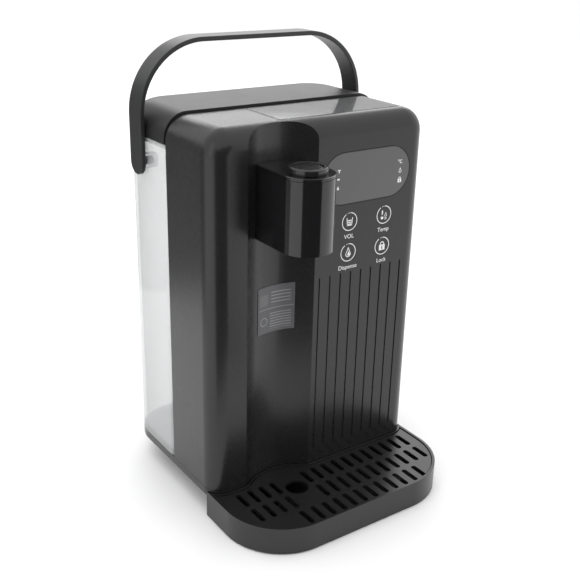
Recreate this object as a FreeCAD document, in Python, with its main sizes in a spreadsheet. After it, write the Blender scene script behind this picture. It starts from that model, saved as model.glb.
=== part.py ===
import FreeCAD, Part

import math
import os
from types import SimpleNamespace

import Sketcher

# Countertop water dispenser with a lift-off tank behind an electronic front housing.
# Frame: +Z up, the front faces -Y, X to the right, origin under the middle of the whole
# object on the surface that it stands on.  Lengths are millimetres.

os.makedirs("parts", exist_ok=True)
doc = FreeCAD.newDocument("water_dispenser")

# ---------------------------------------------------------------- driving dimensions

SIZES = {
    # overall body
    "body_width": 190.0,
    "body_depth": 140.5,
    "body_top": 299.0,
    "housing_depth": 61.5,
    "wall": 2.4,
    "front_round": 14.0,
    "top_round": 18.5,
    "rear_round": 33.0,
    "seam_gap": 0.3,
    # base
    "base_underside": 19.0,
    "base_band": 6.0,
    "base_floor": 3.0,
    "plinth_inset": 16.0,
    "plinth_bottom": 3.5,
    "cover_thickness": 2.5,
    "foot_radius": 8.0,
    "foot_stem": 3.0,
    "foot_inset": 12.0,
    # recess down the front
    "recess_centre": -36.4,
    "recess_width": 58.4,
    "recess_depth": 10.7,
    # display, touch field and flutes
    "display_centre": 38.0,
    "display_height": 254.0,
    "display_width": 82.0,
    "display_tall": 38.8,
    "lens_thickness": 1.2,
    "lens_ledge": 4.0,
    "lens_gap": 0.35,
    "flute_count": 9,
    "flute_pitch": 9.8,
    "flute_width": 1.9,
    "flute_depth": 0.7,
    "flute_first": -2.8,
    "flute_low": 34.5,
    "flute_high": 181.0,
    # spout head
    "head_radius": 18.8,
    "head_reach": 28.0,
    "head_high": 272.4,
    "head_tall": 53.4,
    "head_wall": 2.0,
    "head_gap": 0.25,
    "cap_thickness": 2.2,
    "nozzle_radius": 7.6,
    "nozzle_bore": 4.5,
    "nozzle_drop": 1.6,
    # push button
    "collar_radius": 13.5,
    "collar_height": 4.4,
    "button_radius": 9.9,
    "button_gap": 0.3,
    "button_travel": 2.5,
    "switch_width": 6.4,
    "switch_length": 20.0,
    "switch_height": 7.5,
    # tank
    "tank_gap": 1.3,
    "tank_wall": 2.4,
    "tank_floor": 3.0,
    "tank_top": 278.6,
    "lid_gap": 0.9,
    "lid_rise": 1.8,
    "lid_wall": 2.2,
    "lid_plug_depth": 5.0,
    "seal_width": 1.3,
    # carrying handle
    "handle_centre": 99.5,
    "pivot_height": 259.5,
    "handle_width": 19.0,
    "handle_thickness": 3.4,
    "handle_gap": 1.3,
    "handle_top": 347.0,
    "handle_round": 53.0,
    "handle_edge": 0.6,
    "pin_radius": 3.0,
    "pin_gap": 0.15,
    "pin_length": 8.0,
    # tank valve and its dock
    "valve_centre": 101.5,
    "valve_radius": 11.8,
    "valve_bore": 8.0,
    "valve_lift": 3.0,
    "dock_clearance": 0.6,
    # drip tray
    "tray_reach": 68.0,
    "tray_height": 22.5,
    "tray_lift": 1.0,
    "tray_wall": 2.2,
    "tray_lip": 1.5,
    "tray_floor": 2.0,
    "tray_round": 48.0,
    "tray_gap": 0.6,
    "tongue_width": 20.0,
    "tongue_height": 5.0,
    "tongue_place": 32.0,
    "tongue_length": 30.0,
    "slide_gap": 0.4,
    "grille_thickness": 2.2,
    "grille_drop": 0.8,
    "grille_gap": 0.6,
    "slot_width": 4.4,
    "slot_length": 17.0,
    "slot_pitch": 10.0,
    "slot_row_pitch": 21.2,
    "slot_first_row": 14.2,
    "finger_radius": 9.0,
    # label and film
    "label_width": 32.0,
    "label_tall": 37.0,
    "label_drop": 58.5,
    "label_thickness": 0.3,
    "film_left": -31.0,
    "film_thickness": 0.3,
    # works
    "works_depth": 36.0,
    "heater_radius": 17.0,
    "heater_low": 74.0,
    "heater_headroom": 58.0,
    "pump_place": 54.0,
    "pump_radius": 16.0,
    "pump_low": 34.0,
    "meter_place": 6.0,
    "hose_radius": 4.0,
    "hose_bore": 2.6,
    "barb_radius": 2.5,
    "board_thickness": 1.6,
    "screw_radius": 1.5,
    "screw_head": 2.9,
    "screw_gap": 0.15,
    "boss_radius": 4.2,
    "gland_radius": 4.8,
    "gland_bore": 3.6,
}


class Size:
    """A length that carries its number and the sheet expression that gives it."""

    def __init__(self, number, text):
        self.number = float(number)
        self.text = text

    def join(self, other, sign, number):
        return Size(number, f"({self.text} {sign} {other.text})")

    def __add__(self, other):
        other = as_size(other)
        return self.join(other, "+", self.number + other.number)

    def __sub__(self, other):
        other = as_size(other)
        return self.join(other, "-", self.number - other.number)

    def __mul__(self, other):
        other = as_size(other)
        return self.join(other, "*", self.number * other.number)

    def __truediv__(self, other):
        other = as_size(other)
        return self.join(other, "/", self.number / other.number)

    def __neg__(self):
        return Size(-self.number, f"(0 - {self.text})")

    def __radd__(self, other):
        return as_size(other) + self

    def __rsub__(self, other):
        return as_size(other) - self

    def __rmul__(self, other):
        return as_size(other) * self


def as_size(value):
    return value if isinstance(value, Size) else Size(value, repr(float(value)))


def fill_sheet():
    sheet = doc.addObject("Spreadsheet::Sheet", "Sizes")
    for row, (alias, value) in enumerate(SIZES.items(), start=1):
        sheet.set(f"A{row}", alias)
        sheet.set(f"B{row}", str(value))
        sheet.setAlias(f"B{row}", alias)
    doc.recompute()
    return SimpleNamespace(**{alias: Size(value, f"Sizes.{alias}") for alias, value in SIZES.items()})


s = fill_sheet()

# ---------------------------------------------------------------- derived places

HALF = s.body_width / 2
FRONT = (s.tray_reach - s.body_depth) / 2
SEAM = FRONT + s.housing_depth
REAR = FRONT + s.body_depth
BASE_TOP = s.base_underside + s.base_band
HOUSING_LOW = BASE_TOP + s.seam_gap
RECESS_RADIUS = (s.recess_width * s.recess_width / 4 + s.recess_depth * s.recess_depth) / (2 * s.recess_depth)
RECESS_AXIS = FRONT + s.recess_depth - RECESS_RADIUS
HEAD_X = s.recess_centre
HEAD_Y = FRONT - s.head_reach
HEAD_LOW = s.head_high - s.head_tall
CAP_LOW = s.head_high - s.cap_thickness
COLLAR_TOP = s.head_high + s.collar_height
TANK_FRONT = SEAM + s.tank_gap
TANK_LOW = BASE_TOP + s.seam_gap + 0.1
LID_TOP = s.body_top + s.lid_rise
PIVOT_Y = FRONT + s.handle_centre
VALVE_Y = FRONT + s.valve_centre
BULKHEAD_REAR = SEAM - 1.0
BULKHEAD_FRONT = BULKHEAD_REAR - s.wall
WORKS_Y = FRONT + s.works_depth
GRILLE_TOP = s.tray_height - s.grille_drop
GRILLE_LOW = GRILLE_TOP - s.grille_thickness
FINGER_Y = FRONT - 21.5
SCREW_HOLE = s.screw_radius + s.screw_gap

AXES = {
    "X": FreeCAD.Rotation(FreeCAD.Vector(0, 1, 0), 90),
    "Y": FreeCAD.Rotation(FreeCAD.Vector(1, 0, 0), -90),
    "Z": FreeCAD.Rotation(),
}
made = []
nodes = []

# ---------------------------------------------------------------- building helpers


def fresh(kind, name):
    item = doc.addObject(kind, name)
    made.append(item)
    return item


def bind(item, field, size):
    size = as_size(size)
    item.setExpression(field, size.text)


def place(item, x, y, z, axis="Z"):
    x, y, z = as_size(x), as_size(y), as_size(z)
    item.Placement = FreeCAD.Placement(FreeCAD.Vector(x.number, y.number, z.number), AXES[axis])
    bind(item, "Placement.Base.x", x)
    bind(item, "Placement.Base.y", y)
    bind(item, "Placement.Base.z", z)
    return item


def block(x_low, x_high, y_low, y_high, z_low, z_high):
    """A box between two values on each axis."""
    item = fresh("Part::Box", "Block")
    bind(item, "Length", as_size(x_high) - x_low)
    bind(item, "Width", as_size(y_high) - y_low)
    bind(item, "Height", as_size(z_high) - z_low)
    return place(item, x_low, y_low, z_low)


def rod(x, y, z, radius, length, axis="Z"):
    """A cylinder that starts at a point and runs along one axis."""
    item = fresh("Part::Cylinder", "Rod")
    bind(item, "Radius", radius)
    bind(item, "Height", length)
    return place(item, x, y, z, axis)


def join(*shapes):
    item = fresh("Part::MultiFuse", "Join")
    item.Shapes = list(shapes)
    item.Refine = True
    return item


def cut(base, *tools):
    item = fresh("Part::Cut", "Cut")
    item.Base = base
    item.Tool = tools[0] if len(tools) == 1 else join(*tools)
    item.Refine = True
    return item


def overlap(*shapes):
    item = fresh("Part::MultiCommon", "Overlap")
    item.Shapes = list(shapes)
    item.Refine = True
    return item


def separate(*shapes):
    """Several solids of one kind that share a node without touching."""
    item = fresh("Part::Compound", "Group")
    item.Links = list(shapes)
    return item


def node(label, item):
    item.Label = label
    nodes.append(item)
    return item


def new_sketch(body, plane):
    sketch = body.newObject("Sketcher::SketchObject", "Sketch")
    planes = [item for item in body.Origin.OriginFeatures if item.Role == plane]
    sketch.AttachmentSupport = [(planes[0], "")]
    sketch.MapMode = "FlatFace"
    made.append(sketch)
    return sketch


def feature(body, kind):
    item = body.newObject(kind, kind.split("::")[1])
    made.append(item)
    return item


def hold(sketch, direction, point, size, name):
    """Keeps one coordinate of a sketch point at a size from the sheet."""
    size = as_size(size)
    geometry, end = point
    if abs(size.number) < 1e-9:
        axis = -2 if direction == "X" else -1
        sketch.addConstraint(Sketcher.Constraint("PointOnObject", geometry, end, axis))
        return
    sketch.addConstraint(Sketcher.Constraint("Distance" + direction, -1, 1, geometry, end, size.number))
    sketch.renameConstraint(sketch.ConstraintCount - 1, name)
    bind(sketch, "Constraints." + name, size)


def polygon(sketch, corners):
    """A closed outline of straight lines through bound corners."""
    points = [(as_size(x), as_size(y)) for x, y in corners]
    count = len(points)
    for index in range(count):
        start, end = points[index], points[(index + 1) % count]
        line = Part.LineSegment(
            FreeCAD.Vector(start[0].number, start[1].number, 0),
            FreeCAD.Vector(end[0].number, end[1].number, 0),
        )
        sketch.addGeometry(line)
    for index in range(count):
        sketch.addConstraint(Sketcher.Constraint("Coincident", index, 2, (index + 1) % count, 1))
    for index, (x, y) in enumerate(points):
        hold(sketch, "X", (index, 1), x, f"x{index}")
        hold(sketch, "Y", (index, 1), y, f"y{index}")


def pad(body, sketch, length, middle=False):
    item = feature(body, "PartDesign::Pad")
    item.Profile = sketch
    item.Midplane = middle
    bind(item, "Length", length)
    doc.recompute()
    return item


def round_edges(body, radius, keep):
    """Rounds the edges of a body's present shape that a test picks out."""
    base = body.Tip
    names = [f"Edge{index}" for index, edge in enumerate(base.Shape.Edges, start=1) if keep(edge)]
    item = feature(body, "PartDesign::Fillet")
    item.Base = (base, names)
    bind(item, "Radius", radius)
    doc.recompute()
    return item


def spans(edge):
    """The lengths of an edge's box along X, Y and Z."""
    box = edge.BoundBox
    return box.XLength, box.YLength, box.ZLength


def near(value, target):
    return abs(value - target) < 1e-4


def plan_block(x_half, y_low, y_high, z_low, z_high, front_round=None, rear_round=None):
    """An upright block, symmetrical about X = 0, with rounded front and rear corners."""
    y_low, y_high = as_size(y_low), as_size(y_high)
    body = fresh("PartDesign::Body", "PlanBody")
    sketch = new_sketch(body, "XY_Plane")
    polygon(sketch, [(-x_half, y_low), (x_half, y_low), (x_half, y_high), (-x_half, y_high)])
    pad(body, sketch, as_size(z_high) - z_low)
    for radius, level in ((front_round, y_low), (rear_round, y_high)):
        if radius is not None:
            round_edges(
                body,
                radius,
                lambda edge: near(spans(edge)[0] + spans(edge)[1], 0)
                and near(edge.CenterOfMass.y, level.number),
            )
    return place(body, 0, 0, z_low)


def turned(x, y, z, corners, axis="Z"):
    """A solid of revolution about an axis through a point; corners are (radius, height)."""
    body = fresh("PartDesign::Body", "TurnedBody")
    sketch = new_sketch(body, "XZ_Plane")
    polygon(sketch, corners)
    item = feature(body, "PartDesign::Revolution")
    item.Profile = sketch
    item.ReferenceAxis = (sketch, ["V_Axis"])
    item.Angle = 360
    doc.recompute()
    return place(body, x, y, z, axis)


def slot_row(width, length, pitch, count, height):
    """A row of round-ended slots along X, the first centred on the body's origin."""
    body = fresh("PartDesign::Body", "SlotBody")
    body.AllowCompound = True
    sketch = new_sketch(body, "XY_Plane")
    half, middle = width / 2, (length - width) / 2
    w, m = half.number, middle.number
    up = FreeCAD.Vector(0, 0, 1)
    sketch.addGeometry(Part.LineSegment(FreeCAD.Vector(-w, -m, 0), FreeCAD.Vector(-w, m, 0)))
    sketch.addGeometry(Part.ArcOfCircle(Part.Circle(FreeCAD.Vector(0, m, 0), up, w), 0, math.pi))
    sketch.addGeometry(Part.LineSegment(FreeCAD.Vector(w, m, 0), FreeCAD.Vector(w, -m, 0)))
    sketch.addGeometry(Part.ArcOfCircle(Part.Circle(FreeCAD.Vector(0, -m, 0), up, w), math.pi, 2 * math.pi))
    for first, first_end, second, second_end in ((0, 2, 1, 2), (1, 1, 2, 1), (2, 2, 3, 2), (3, 1, 0, 1)):
        sketch.addConstraint(Sketcher.Constraint("Tangent", first, first_end, second, second_end))
    sketch.addConstraint(Sketcher.Constraint("Vertical", 0))
    sketch.addConstraint(Sketcher.Constraint("Equal", 1, 3))
    sketch.addConstraint(Sketcher.Constraint("PointOnObject", 1, 3, -2))
    hold(sketch, "Y", (1, 3), middle, "upper")
    hold(sketch, "Y", (3, 3), -middle, "lower")
    sketch.addConstraint(Sketcher.Constraint("Radius", 1, w))
    sketch.renameConstraint(sketch.ConstraintCount - 1, "end_radius")
    bind(sketch, "Constraints.end_radius", half)
    first_slot = pad(body, sketch, height)
    pattern = feature(body, "PartDesign::LinearPattern")
    pattern.Originals = [first_slot]
    pattern.Direction = (sketch, ["H_Axis"])
    bind(pattern, "Length", pitch * (count - 1))
    bind(pattern, "Occurrences", count)
    body.Tip = pattern
    doc.recompute()
    return body


def coil(x, y, z, radius, wire, height, turns):
    """A compression spring that stands on a point."""
    body = fresh("PartDesign::Body", "CoilBody")
    sketch = new_sketch(body, "XZ_Plane")
    sketch.addGeometry(Part.Circle(FreeCAD.Vector(radius, wire, 0), FreeCAD.Vector(0, 0, 1), wire))
    sketch.addConstraint(Sketcher.Constraint("DistanceX", -1, 1, 0, 3, radius))
    sketch.addConstraint(Sketcher.Constraint("DistanceY", -1, 1, 0, 3, wire))
    sketch.addConstraint(Sketcher.Constraint("Radius", 0, wire))
    item = feature(body, "PartDesign::AdditiveHelix")
    item.Profile = sketch
    item.ReferenceAxis = (sketch, ["V_Axis"])
    item.Mode = "height-turns-angle"
    bind(item, "Height", as_size(height) - 2 * wire)
    item.Turns = turns
    doc.recompute()
    return place(body, x, y, z)


def tube(points, bend):
    """A hose along straight runs joined by tangent arcs, hollow from end to end."""
    route = [FreeCAD.Vector(*[as_size(value).number for value in point]) for point in points]
    edges = []
    start = route[0]
    for before, corner, after in zip(route, route[1:], route[2:]):
        back = (before - corner).normalize()
        ahead = (after - corner).normalize()
        half_turn = (math.pi - back.getAngle(ahead)) / 2
        reach = bend * math.tan(half_turn)
        first, last = corner + back * reach, corner + ahead * reach
        inward = (back + ahead).normalize()
        middle = corner + inward * (bend / math.cos(half_turn) - bend)
        edges.append(Part.LineSegment(start, first).toShape())
        edges.append(Part.Arc(first, middle, last).toShape())
        start = last
    edges.append(Part.LineSegment(start, route[-1]).toShape())
    path = Part.Wire(edges)
    rings = []
    for radius in (s.hose_radius.number, s.hose_bore.number):
        ring = Part.Wire(Part.makeCircle(radius, route[0], route[1] - route[0]))
        rings.append(path.makePipeShell([ring], True, False))
    item = fresh("Part::Feature", "Hose")
    item.Shape = rings[0].cut(rings[1])
    item.Placement = FreeCAD.Placement()
    return item


def screws(points, length, axis, inward):
    """Pan-head screws; each point is the middle of the face that the head bears on."""
    parts = []
    for x, y, z in points:
        head = [as_size(x), as_size(y), as_size(z)]
        shank = list(head)
        along = "XYZ".index(axis)
        head_height = s.screw_head / 2
        if inward > 0:
            head[along] = head[along] - head_height
        else:
            shank[along] = shank[along] - length
        pan = rod(*head, s.screw_head, head_height, axis)
        parts.append(join(pan, rod(*shank, s.screw_radius, length, axis)))
    return separate(*parts)


# ---------------------------------------------------------------- shared forms


def recess(grow, z_low, z_high):
    """The upright channel down the front, its radius grown by a wall or a clearance."""
    return rod(s.recess_centre, RECESS_AXIS, z_low, RECESS_RADIUS + grow, as_size(z_high) - z_low)


def body_line(grow, z_low, z_high):
    """The body's plan shape grown outward, with the channel cut into its front."""
    outline = plan_block(HALF + grow, FRONT - grow, REAR, z_low, z_high, s.front_round + grow)
    return cut(outline, recess(-as_size(grow), z_low, z_high))


def housing_form(inset, low, deep):
    """The front housing's outer shape, set in from its faces by one thickness."""
    width, top = HALF - inset, s.body_top - inset
    body = fresh("PartDesign::Body", "HousingForm")
    sketch = new_sketch(body, "XZ_Plane")
    polygon(sketch, [(-width, low), (width, low), (width, top), (-width, top)])
    pad(body, sketch, deep)
    round_edges(
        body,
        s.top_round - inset,
        lambda edge: near(spans(edge)[0] + spans(edge)[2], 0) and near(edge.CenterOfMass.z, top.number),
    )
    floor = as_size(low).number
    round_edges(
        body,
        s.front_round - inset,
        lambda edge: near(edge.CenterOfMass.y, -as_size(deep).number)
        and near(spans(edge)[1], 0)
        and edge.CenterOfMass.z > floor + 1,
    )
    return place(body, 0, FRONT + inset + deep, 0)


# ---------------------------------------------------------------- front housing

CORNER_X = HALF - s.wall - s.boss_radius
BOSS_FRONT_Y = FRONT + s.front_round + s.boss_radius
BOSS_REAR_Y = BULKHEAD_FRONT - 2 * s.boss_radius
PANEL_LEVELS = (s.tank_top * 0.2, s.tank_top * 0.86)
UPPER_SCREW = CAP_LOW - 8.0
LOWER_SCREW = HEAD_LOW + 9.0
HOSE_LEVEL = HEAD_LOW + 19.0


def mirrored(values):
    """Left and right copies of (x, y, z) places."""
    return [(sign * x, y, z) for x, y, z in values for sign in (-1, 1)]


BASE_SCREWS = mirrored([
    (CORNER_X, BOSS_FRONT_Y, s.base_underside),
    (CORNER_X, BOSS_REAR_Y, s.base_underside),
])
PANEL_SCREWS = mirrored([(CORNER_X, BULKHEAD_REAR, level) for level in PANEL_LEVELS])
HEAD_SCREWS = [(HEAD_X, FRONT + s.recess_depth + s.wall, level) for level in (UPPER_SCREW, LOWER_SCREW)]


def rib(x, y_low, y_high, z_low, z_high):
    """The web that ties a screw boss to the side wall beside it."""
    inner, outer = x, HALF - s.wall / 2
    if x.number < 0:
        inner, outer = -outer, x
    return block(inner, outer, y_low, y_high, z_low, z_high)


def front_housing():
    outer = housing_form(as_size(0), HOUSING_LOW, s.housing_depth)
    inner = housing_form(s.wall, HOUSING_LOW - 1.0, s.housing_depth)
    above = s.body_top + 1.0
    skin = cut(outer, cut(inner, recess(s.wall, 0, above)), recess(as_size(0), 0, above))
    extras = []
    holes = []
    for x, y, _ in BASE_SCREWS:
        extras.append(rod(x, y, HOUSING_LOW, s.boss_radius, 16.0))
        extras.append(rib(x, y - 1.0, y + 1.0, HOUSING_LOW, HOUSING_LOW + 16.0))
        holes.append(rod(x, y, HOUSING_LOW - 1.0, SCREW_HOLE, 13.0))
    for x, y, z in PANEL_SCREWS:
        start = BULKHEAD_FRONT - 14.0
        extras.append(rod(x, start, z, s.boss_radius, 14.0, "Y"))
        extras.append(rib(x, start, start + 14.0, z - 1.0, z + 1.0))
        holes.append(rod(x, start + 2.0, z, SCREW_HOLE, 14.0, "Y"))
    # stepped window: a pocket for the lens and a smaller opening behind it
    width, tall = s.display_width + 2 * s.lens_gap, s.display_tall + 2 * s.lens_gap
    for grow, depth in ((as_size(0), s.lens_thickness + 0.05), (s.lens_ledge, s.wall + 2.0)):
        holes.append(stadium(width - 2 * grow, tall - 2 * grow, FRONT - 1.0, depth + 1.0))
    for _, _, z in HEAD_SCREWS:
        holes.append(rod(HEAD_X, FRONT, z, SCREW_HOLE, 20.0, "Y"))
    holes.append(rod(HEAD_X, FRONT, HOSE_LEVEL, s.hose_radius + 0.6, 20.0, "Y"))
    holes.append(flutes())
    return node("front_housing", cut(join(skin, *extras), *holes))


def stadium(width, tall, y_low, depth):
    """A round-ended block on the display's centre, thin along Y."""
    radius, reach = tall / 2, (width - tall) / 2
    x, z = s.display_centre, s.display_height
    return join(
        block(x - reach, x + reach, y_low, y_low + depth, z - radius, z + radius),
        rod(x - reach, y_low, z, radius, depth, "Y"),
        rod(x + reach, y_low, z, radius, depth, "Y"),
    )


def flutes():
    """Round-ended upright grooves in the front face."""
    tall = s.flute_high - s.flute_low
    row = slot_row(s.flute_width, tall, s.flute_pitch, s.flute_count, s.flute_depth + 1.0)
    middle = (s.flute_high + s.flute_low) / 2
    return place(row, s.flute_first, FRONT + s.flute_depth, middle, "FACE")


AXES["FACE"] = FreeCAD.Rotation(FreeCAD.Vector(1, 0, 0), 90)


def rear_bulkhead():
    gap = s.wall + s.seam_gap
    width, top = HALF - gap, s.body_top - gap
    body = fresh("PartDesign::Body", "BulkheadForm")
    sketch = new_sketch(body, "XZ_Plane")
    polygon(sketch, [(-width, HOUSING_LOW), (width, HOUSING_LOW), (width, top), (-width, top)])
    pad(body, sketch, s.wall)
    round_edges(
        body,
        s.top_round - gap,
        lambda edge: near(spans(edge)[0] + spans(edge)[2], 0) and near(edge.CenterOfMass.z, top.number),
    )
    place(body, 0, BULKHEAD_REAR, 0)
    holes = [rod(x, y - 10.0, z, SCREW_HOLE, 20.0, "Y") for x, y, z in PANEL_SCREWS]
    return node("rear_bulkhead", cut(body, *holes))


def display_window():
    return node("display_window", stadium(s.display_width, s.display_tall, FRONT, s.lens_thickness))


def display_module():
    x, z = s.display_centre, s.display_height
    half = (s.display_width - 2 * s.lens_ledge) / 2 - 6.0
    tall = s.display_tall / 2 - s.lens_ledge - 1.0
    panel = block(x - half, x + half, FRONT + s.wall + 0.1, BOARD_Y - 0.1, z - tall, z + tall)
    return node("display_module", panel)


BOARD_Y = FRONT + s.wall + 5.4
TOUCH_POINTS = [(23.5, 221.0), (56.5, 221.0), (23.5, 196.5), (56.5, 196.5)]


def control_board():
    x_low, x_high = as_size(4.0), s.display_centre + s.display_width / 2 - 1.0
    z_low, z_high = as_size(184.0), s.display_height + s.display_tall / 2
    plate = block(x_low, x_high, BOARD_Y, BOARD_Y + s.board_thickness, z_low, z_high)
    chips = [block(x, x + 9.0, BOARD_Y + s.board_thickness, BOARD_Y + s.board_thickness + 1.6, 206.0, 215.0)
             for x in (16.0, 36.0, 56.0)]
    return node("control_board", join(plate, *chips))


def touch_springs():
    """Conductive pads that carry each touch key's field to the inside of the front wall."""
    start = FRONT + s.wall + 0.1
    pads = [rod(x, start, z, 5.0, BOARD_Y - 0.1 - start, "Y") for x, z in TOUCH_POINTS]
    return node("touch_springs", separate(*pads))


def info_label():
    """A thin plate that follows the channel's wall."""
    outer = RECESS_RADIUS - 0.05
    z_low = HEAD_LOW - s.label_drop - s.label_tall / 2
    ring = cut(
        rod(s.recess_centre, RECESS_AXIS, z_low, outer, s.label_tall),
        rod(s.recess_centre, RECESS_AXIS, z_low - 1.0, outer - s.label_thickness, s.label_tall + 2.0),
    )
    middle = s.recess_centre + 1.0
    window = block(middle - s.label_width / 2, middle + s.label_width / 2, FRONT, FRONT + 20.0,
                   z_low - 1.0, z_low + s.label_tall + 1.0)
    return node("info_label", overlap(ring, window))


def top_film():
    y_low = FRONT + s.front_round
    sheet = block(s.film_left, HALF - s.top_round, y_low, SEAM - 3.0, s.body_top + 0.02,
                  s.body_top + 0.02 + s.film_thickness)
    return node("top_film", sheet)


# ---------------------------------------------------------------- spout head and button


def head_form(inset, z_low, z_high):
    """A half-round nose with straight sides that run back to the channel's wall."""
    radius, tall = s.head_radius - inset, as_size(z_high) - z_low
    nose = rod(HEAD_X, HEAD_Y, z_low, radius, tall)
    sides = block(HEAD_X - radius, HEAD_X + radius, HEAD_Y, FRONT + 20.0, z_low, z_high)
    return overlap(join(nose, sides), recess(-s.head_gap - inset, z_low, z_high))


def spout_head():
    floor = HEAD_LOW + s.head_wall
    hollow = head_form(s.head_wall, floor, CAP_LOW + 1.0)
    shell = cut(head_form(as_size(0), HEAD_LOW, CAP_LOW - 0.05), hollow)
    bosses = []
    holes = [rod(HEAD_X, HEAD_Y, HEAD_LOW - 1.0, s.nozzle_radius - 0.5, 10.0)]
    back = FRONT + s.recess_depth - s.head_gap - s.head_wall
    for _, _, z in HEAD_SCREWS:
        bosses.append(rod(HEAD_X, back - 7.0, z, s.boss_radius - 0.2, 7.5, "Y"))
        holes.append(rod(HEAD_X, back - 5.0, z, SCREW_HOLE, 20.0, "Y"))
    holes.append(rod(HEAD_X, back - 1.0, HOSE_LEVEL, s.hose_radius + 0.6, 20.0, "Y"))
    return node("spout_head", cut(join(shell, *bosses), *holes))


def spout_cap():
    plate = head_form(as_size(0), CAP_LOW, s.head_high)
    return node("spout_cap", cut(plate, rod(HEAD_X, HEAD_Y, CAP_LOW - 1.0, s.collar_radius - 2.0, 10.0)))


COLLAR_BORE = s.button_radius + s.button_gap
GUIDE_FLOOR = CAP_LOW - 14.0


def button_collar():
    spigot = s.collar_radius - 2.1
    corners = [
        (COLLAR_BORE, CAP_LOW), (spigot, CAP_LOW), (spigot, s.head_high + 0.05),
        (s.collar_radius, s.head_high + 0.05), (s.collar_radius, COLLAR_TOP - 0.7),
        (s.collar_radius - 0.7, COLLAR_TOP), (COLLAR_BORE, COLLAR_TOP),
    ]
    return node("button_collar", turned(HEAD_X, HEAD_Y, 0, corners))


def push_button():
    top, flange = COLLAR_TOP - 0.5, CAP_LOW - 0.3
    stem = s.button_radius * 0.3
    corners = [
        (0, GUIDE_FLOOR + 0.4), (stem, GUIDE_FLOOR + 0.4), (stem, flange - 2.0),
        (s.button_radius + 1.1, flange - 2.0), (s.button_radius + 1.1, flange), (s.button_radius, flange),
        (s.button_radius, top - 0.5), (s.button_radius - 0.5, top), (0, top),
    ]
    return node("push_button", turned(HEAD_X, HEAD_Y, 0, corners))


def button_guide():
    inner = s.button_radius + 1.1 + s.button_gap
    outer, hole = inner + 1.5, s.button_radius * 0.3 + s.button_gap
    corners = [
        (hole, GUIDE_FLOOR - 2.0), (outer, GUIDE_FLOOR - 2.0), (outer, CAP_LOW - 0.05),
        (inner, CAP_LOW - 0.05), (inner, GUIDE_FLOOR), (hole, GUIDE_FLOOR),
    ]
    return node("button_guide", turned(HEAD_X, HEAD_Y, 0, corners))


def button_spring():
    height = CAP_LOW - 2.4 - GUIDE_FLOOR
    return node("button_spring", coil(HEAD_X, HEAD_Y, GUIDE_FLOOR + 0.05, 6.0, 0.4, height, 4))


def micro_switch():
    plunger_top = GUIDE_FLOOR + 0.3 - s.button_travel
    top = plunger_top - 0.8
    half = s.switch_width / 2
    start = HEAD_Y - 6.0
    case = block(HEAD_X - half, HEAD_X + half, start, start + s.switch_length, top - s.switch_height, top)
    plunger = rod(HEAD_X, HEAD_Y, top - 0.5, 1.2, plunger_top - top + 0.5)
    return node("micro_switch", join(case, plunger))


def nozzle():
    low, floor = HEAD_LOW - s.nozzle_drop, HEAD_LOW + s.head_wall
    outer, through = s.nozzle_radius, s.nozzle_radius - 0.7
    top = HOSE_LEVEL - 9.5
    corners = [
        (s.nozzle_bore, low), (outer - 0.4, low), (outer, low + 0.4), (outer, HEAD_LOW - 0.05),
        (through, HEAD_LOW - 0.05), (through, floor + 3.0), (s.barb_radius, floor + 3.0),
        (s.barb_radius, top), (1.6, top), (1.6, floor), (s.nozzle_bore, floor - 1.0),
    ]
    return node("nozzle", turned(HEAD_X, HEAD_Y, 0, corners))


def nozzle_sieve():
    low = HEAD_LOW - s.nozzle_drop + 0.6
    plate = rod(HEAD_X, HEAD_Y, low, s.nozzle_bore - 0.05, 0.8)
    holes = [rod(HEAD_X, HEAD_Y, low - 1.0, 0.6, 3.0)]
    for index in range(6):
        angle = index * math.pi / 3
        x, y = HEAD_X + 2.6 * math.cos(angle), HEAD_Y + 2.6 * math.sin(angle)
        holes.append(rod(x, y, low - 1.0, 0.6, 3.0))
    return node("nozzle_sieve", cut(plate, *holes))


# ---------------------------------------------------------------- base

PLINTH_HALF = HALF - s.plinth_inset
PLINTH_FRONT = FRONT + s.plinth_inset
PLINTH_REAR = REAR - s.plinth_inset
GLAND_LEVEL = (s.plinth_bottom + s.cover_thickness + s.base_underside) / 2
DOCK_RADIUS = s.valve_radius + 7.0
COVER_TOP = s.plinth_bottom + s.cover_thickness
FOOT_PLACES = mirrored([
    (PLINTH_HALF - s.foot_inset, PLINTH_FRONT + s.foot_inset, as_size(0)),
    (PLINTH_HALF - s.foot_inset, PLINTH_REAR - s.foot_inset, as_size(0)),
])
COVER_SCREWS = mirrored([
    (PLINTH_HALF - s.wall - s.boss_radius, PLINTH_FRONT + 34.0, s.plinth_bottom),
    (PLINTH_HALF - s.wall - s.boss_radius, PLINTH_REAR - 34.0, s.plinth_bottom),
])


def plinth_block(inset, z_low, z_high):
    corner = s.front_round + 2.0 - inset
    front, rear = PLINTH_FRONT + inset, PLINTH_REAR - inset
    return plan_block(PLINTH_HALF - inset, front, rear, z_low, z_high, corner, corner)


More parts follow.
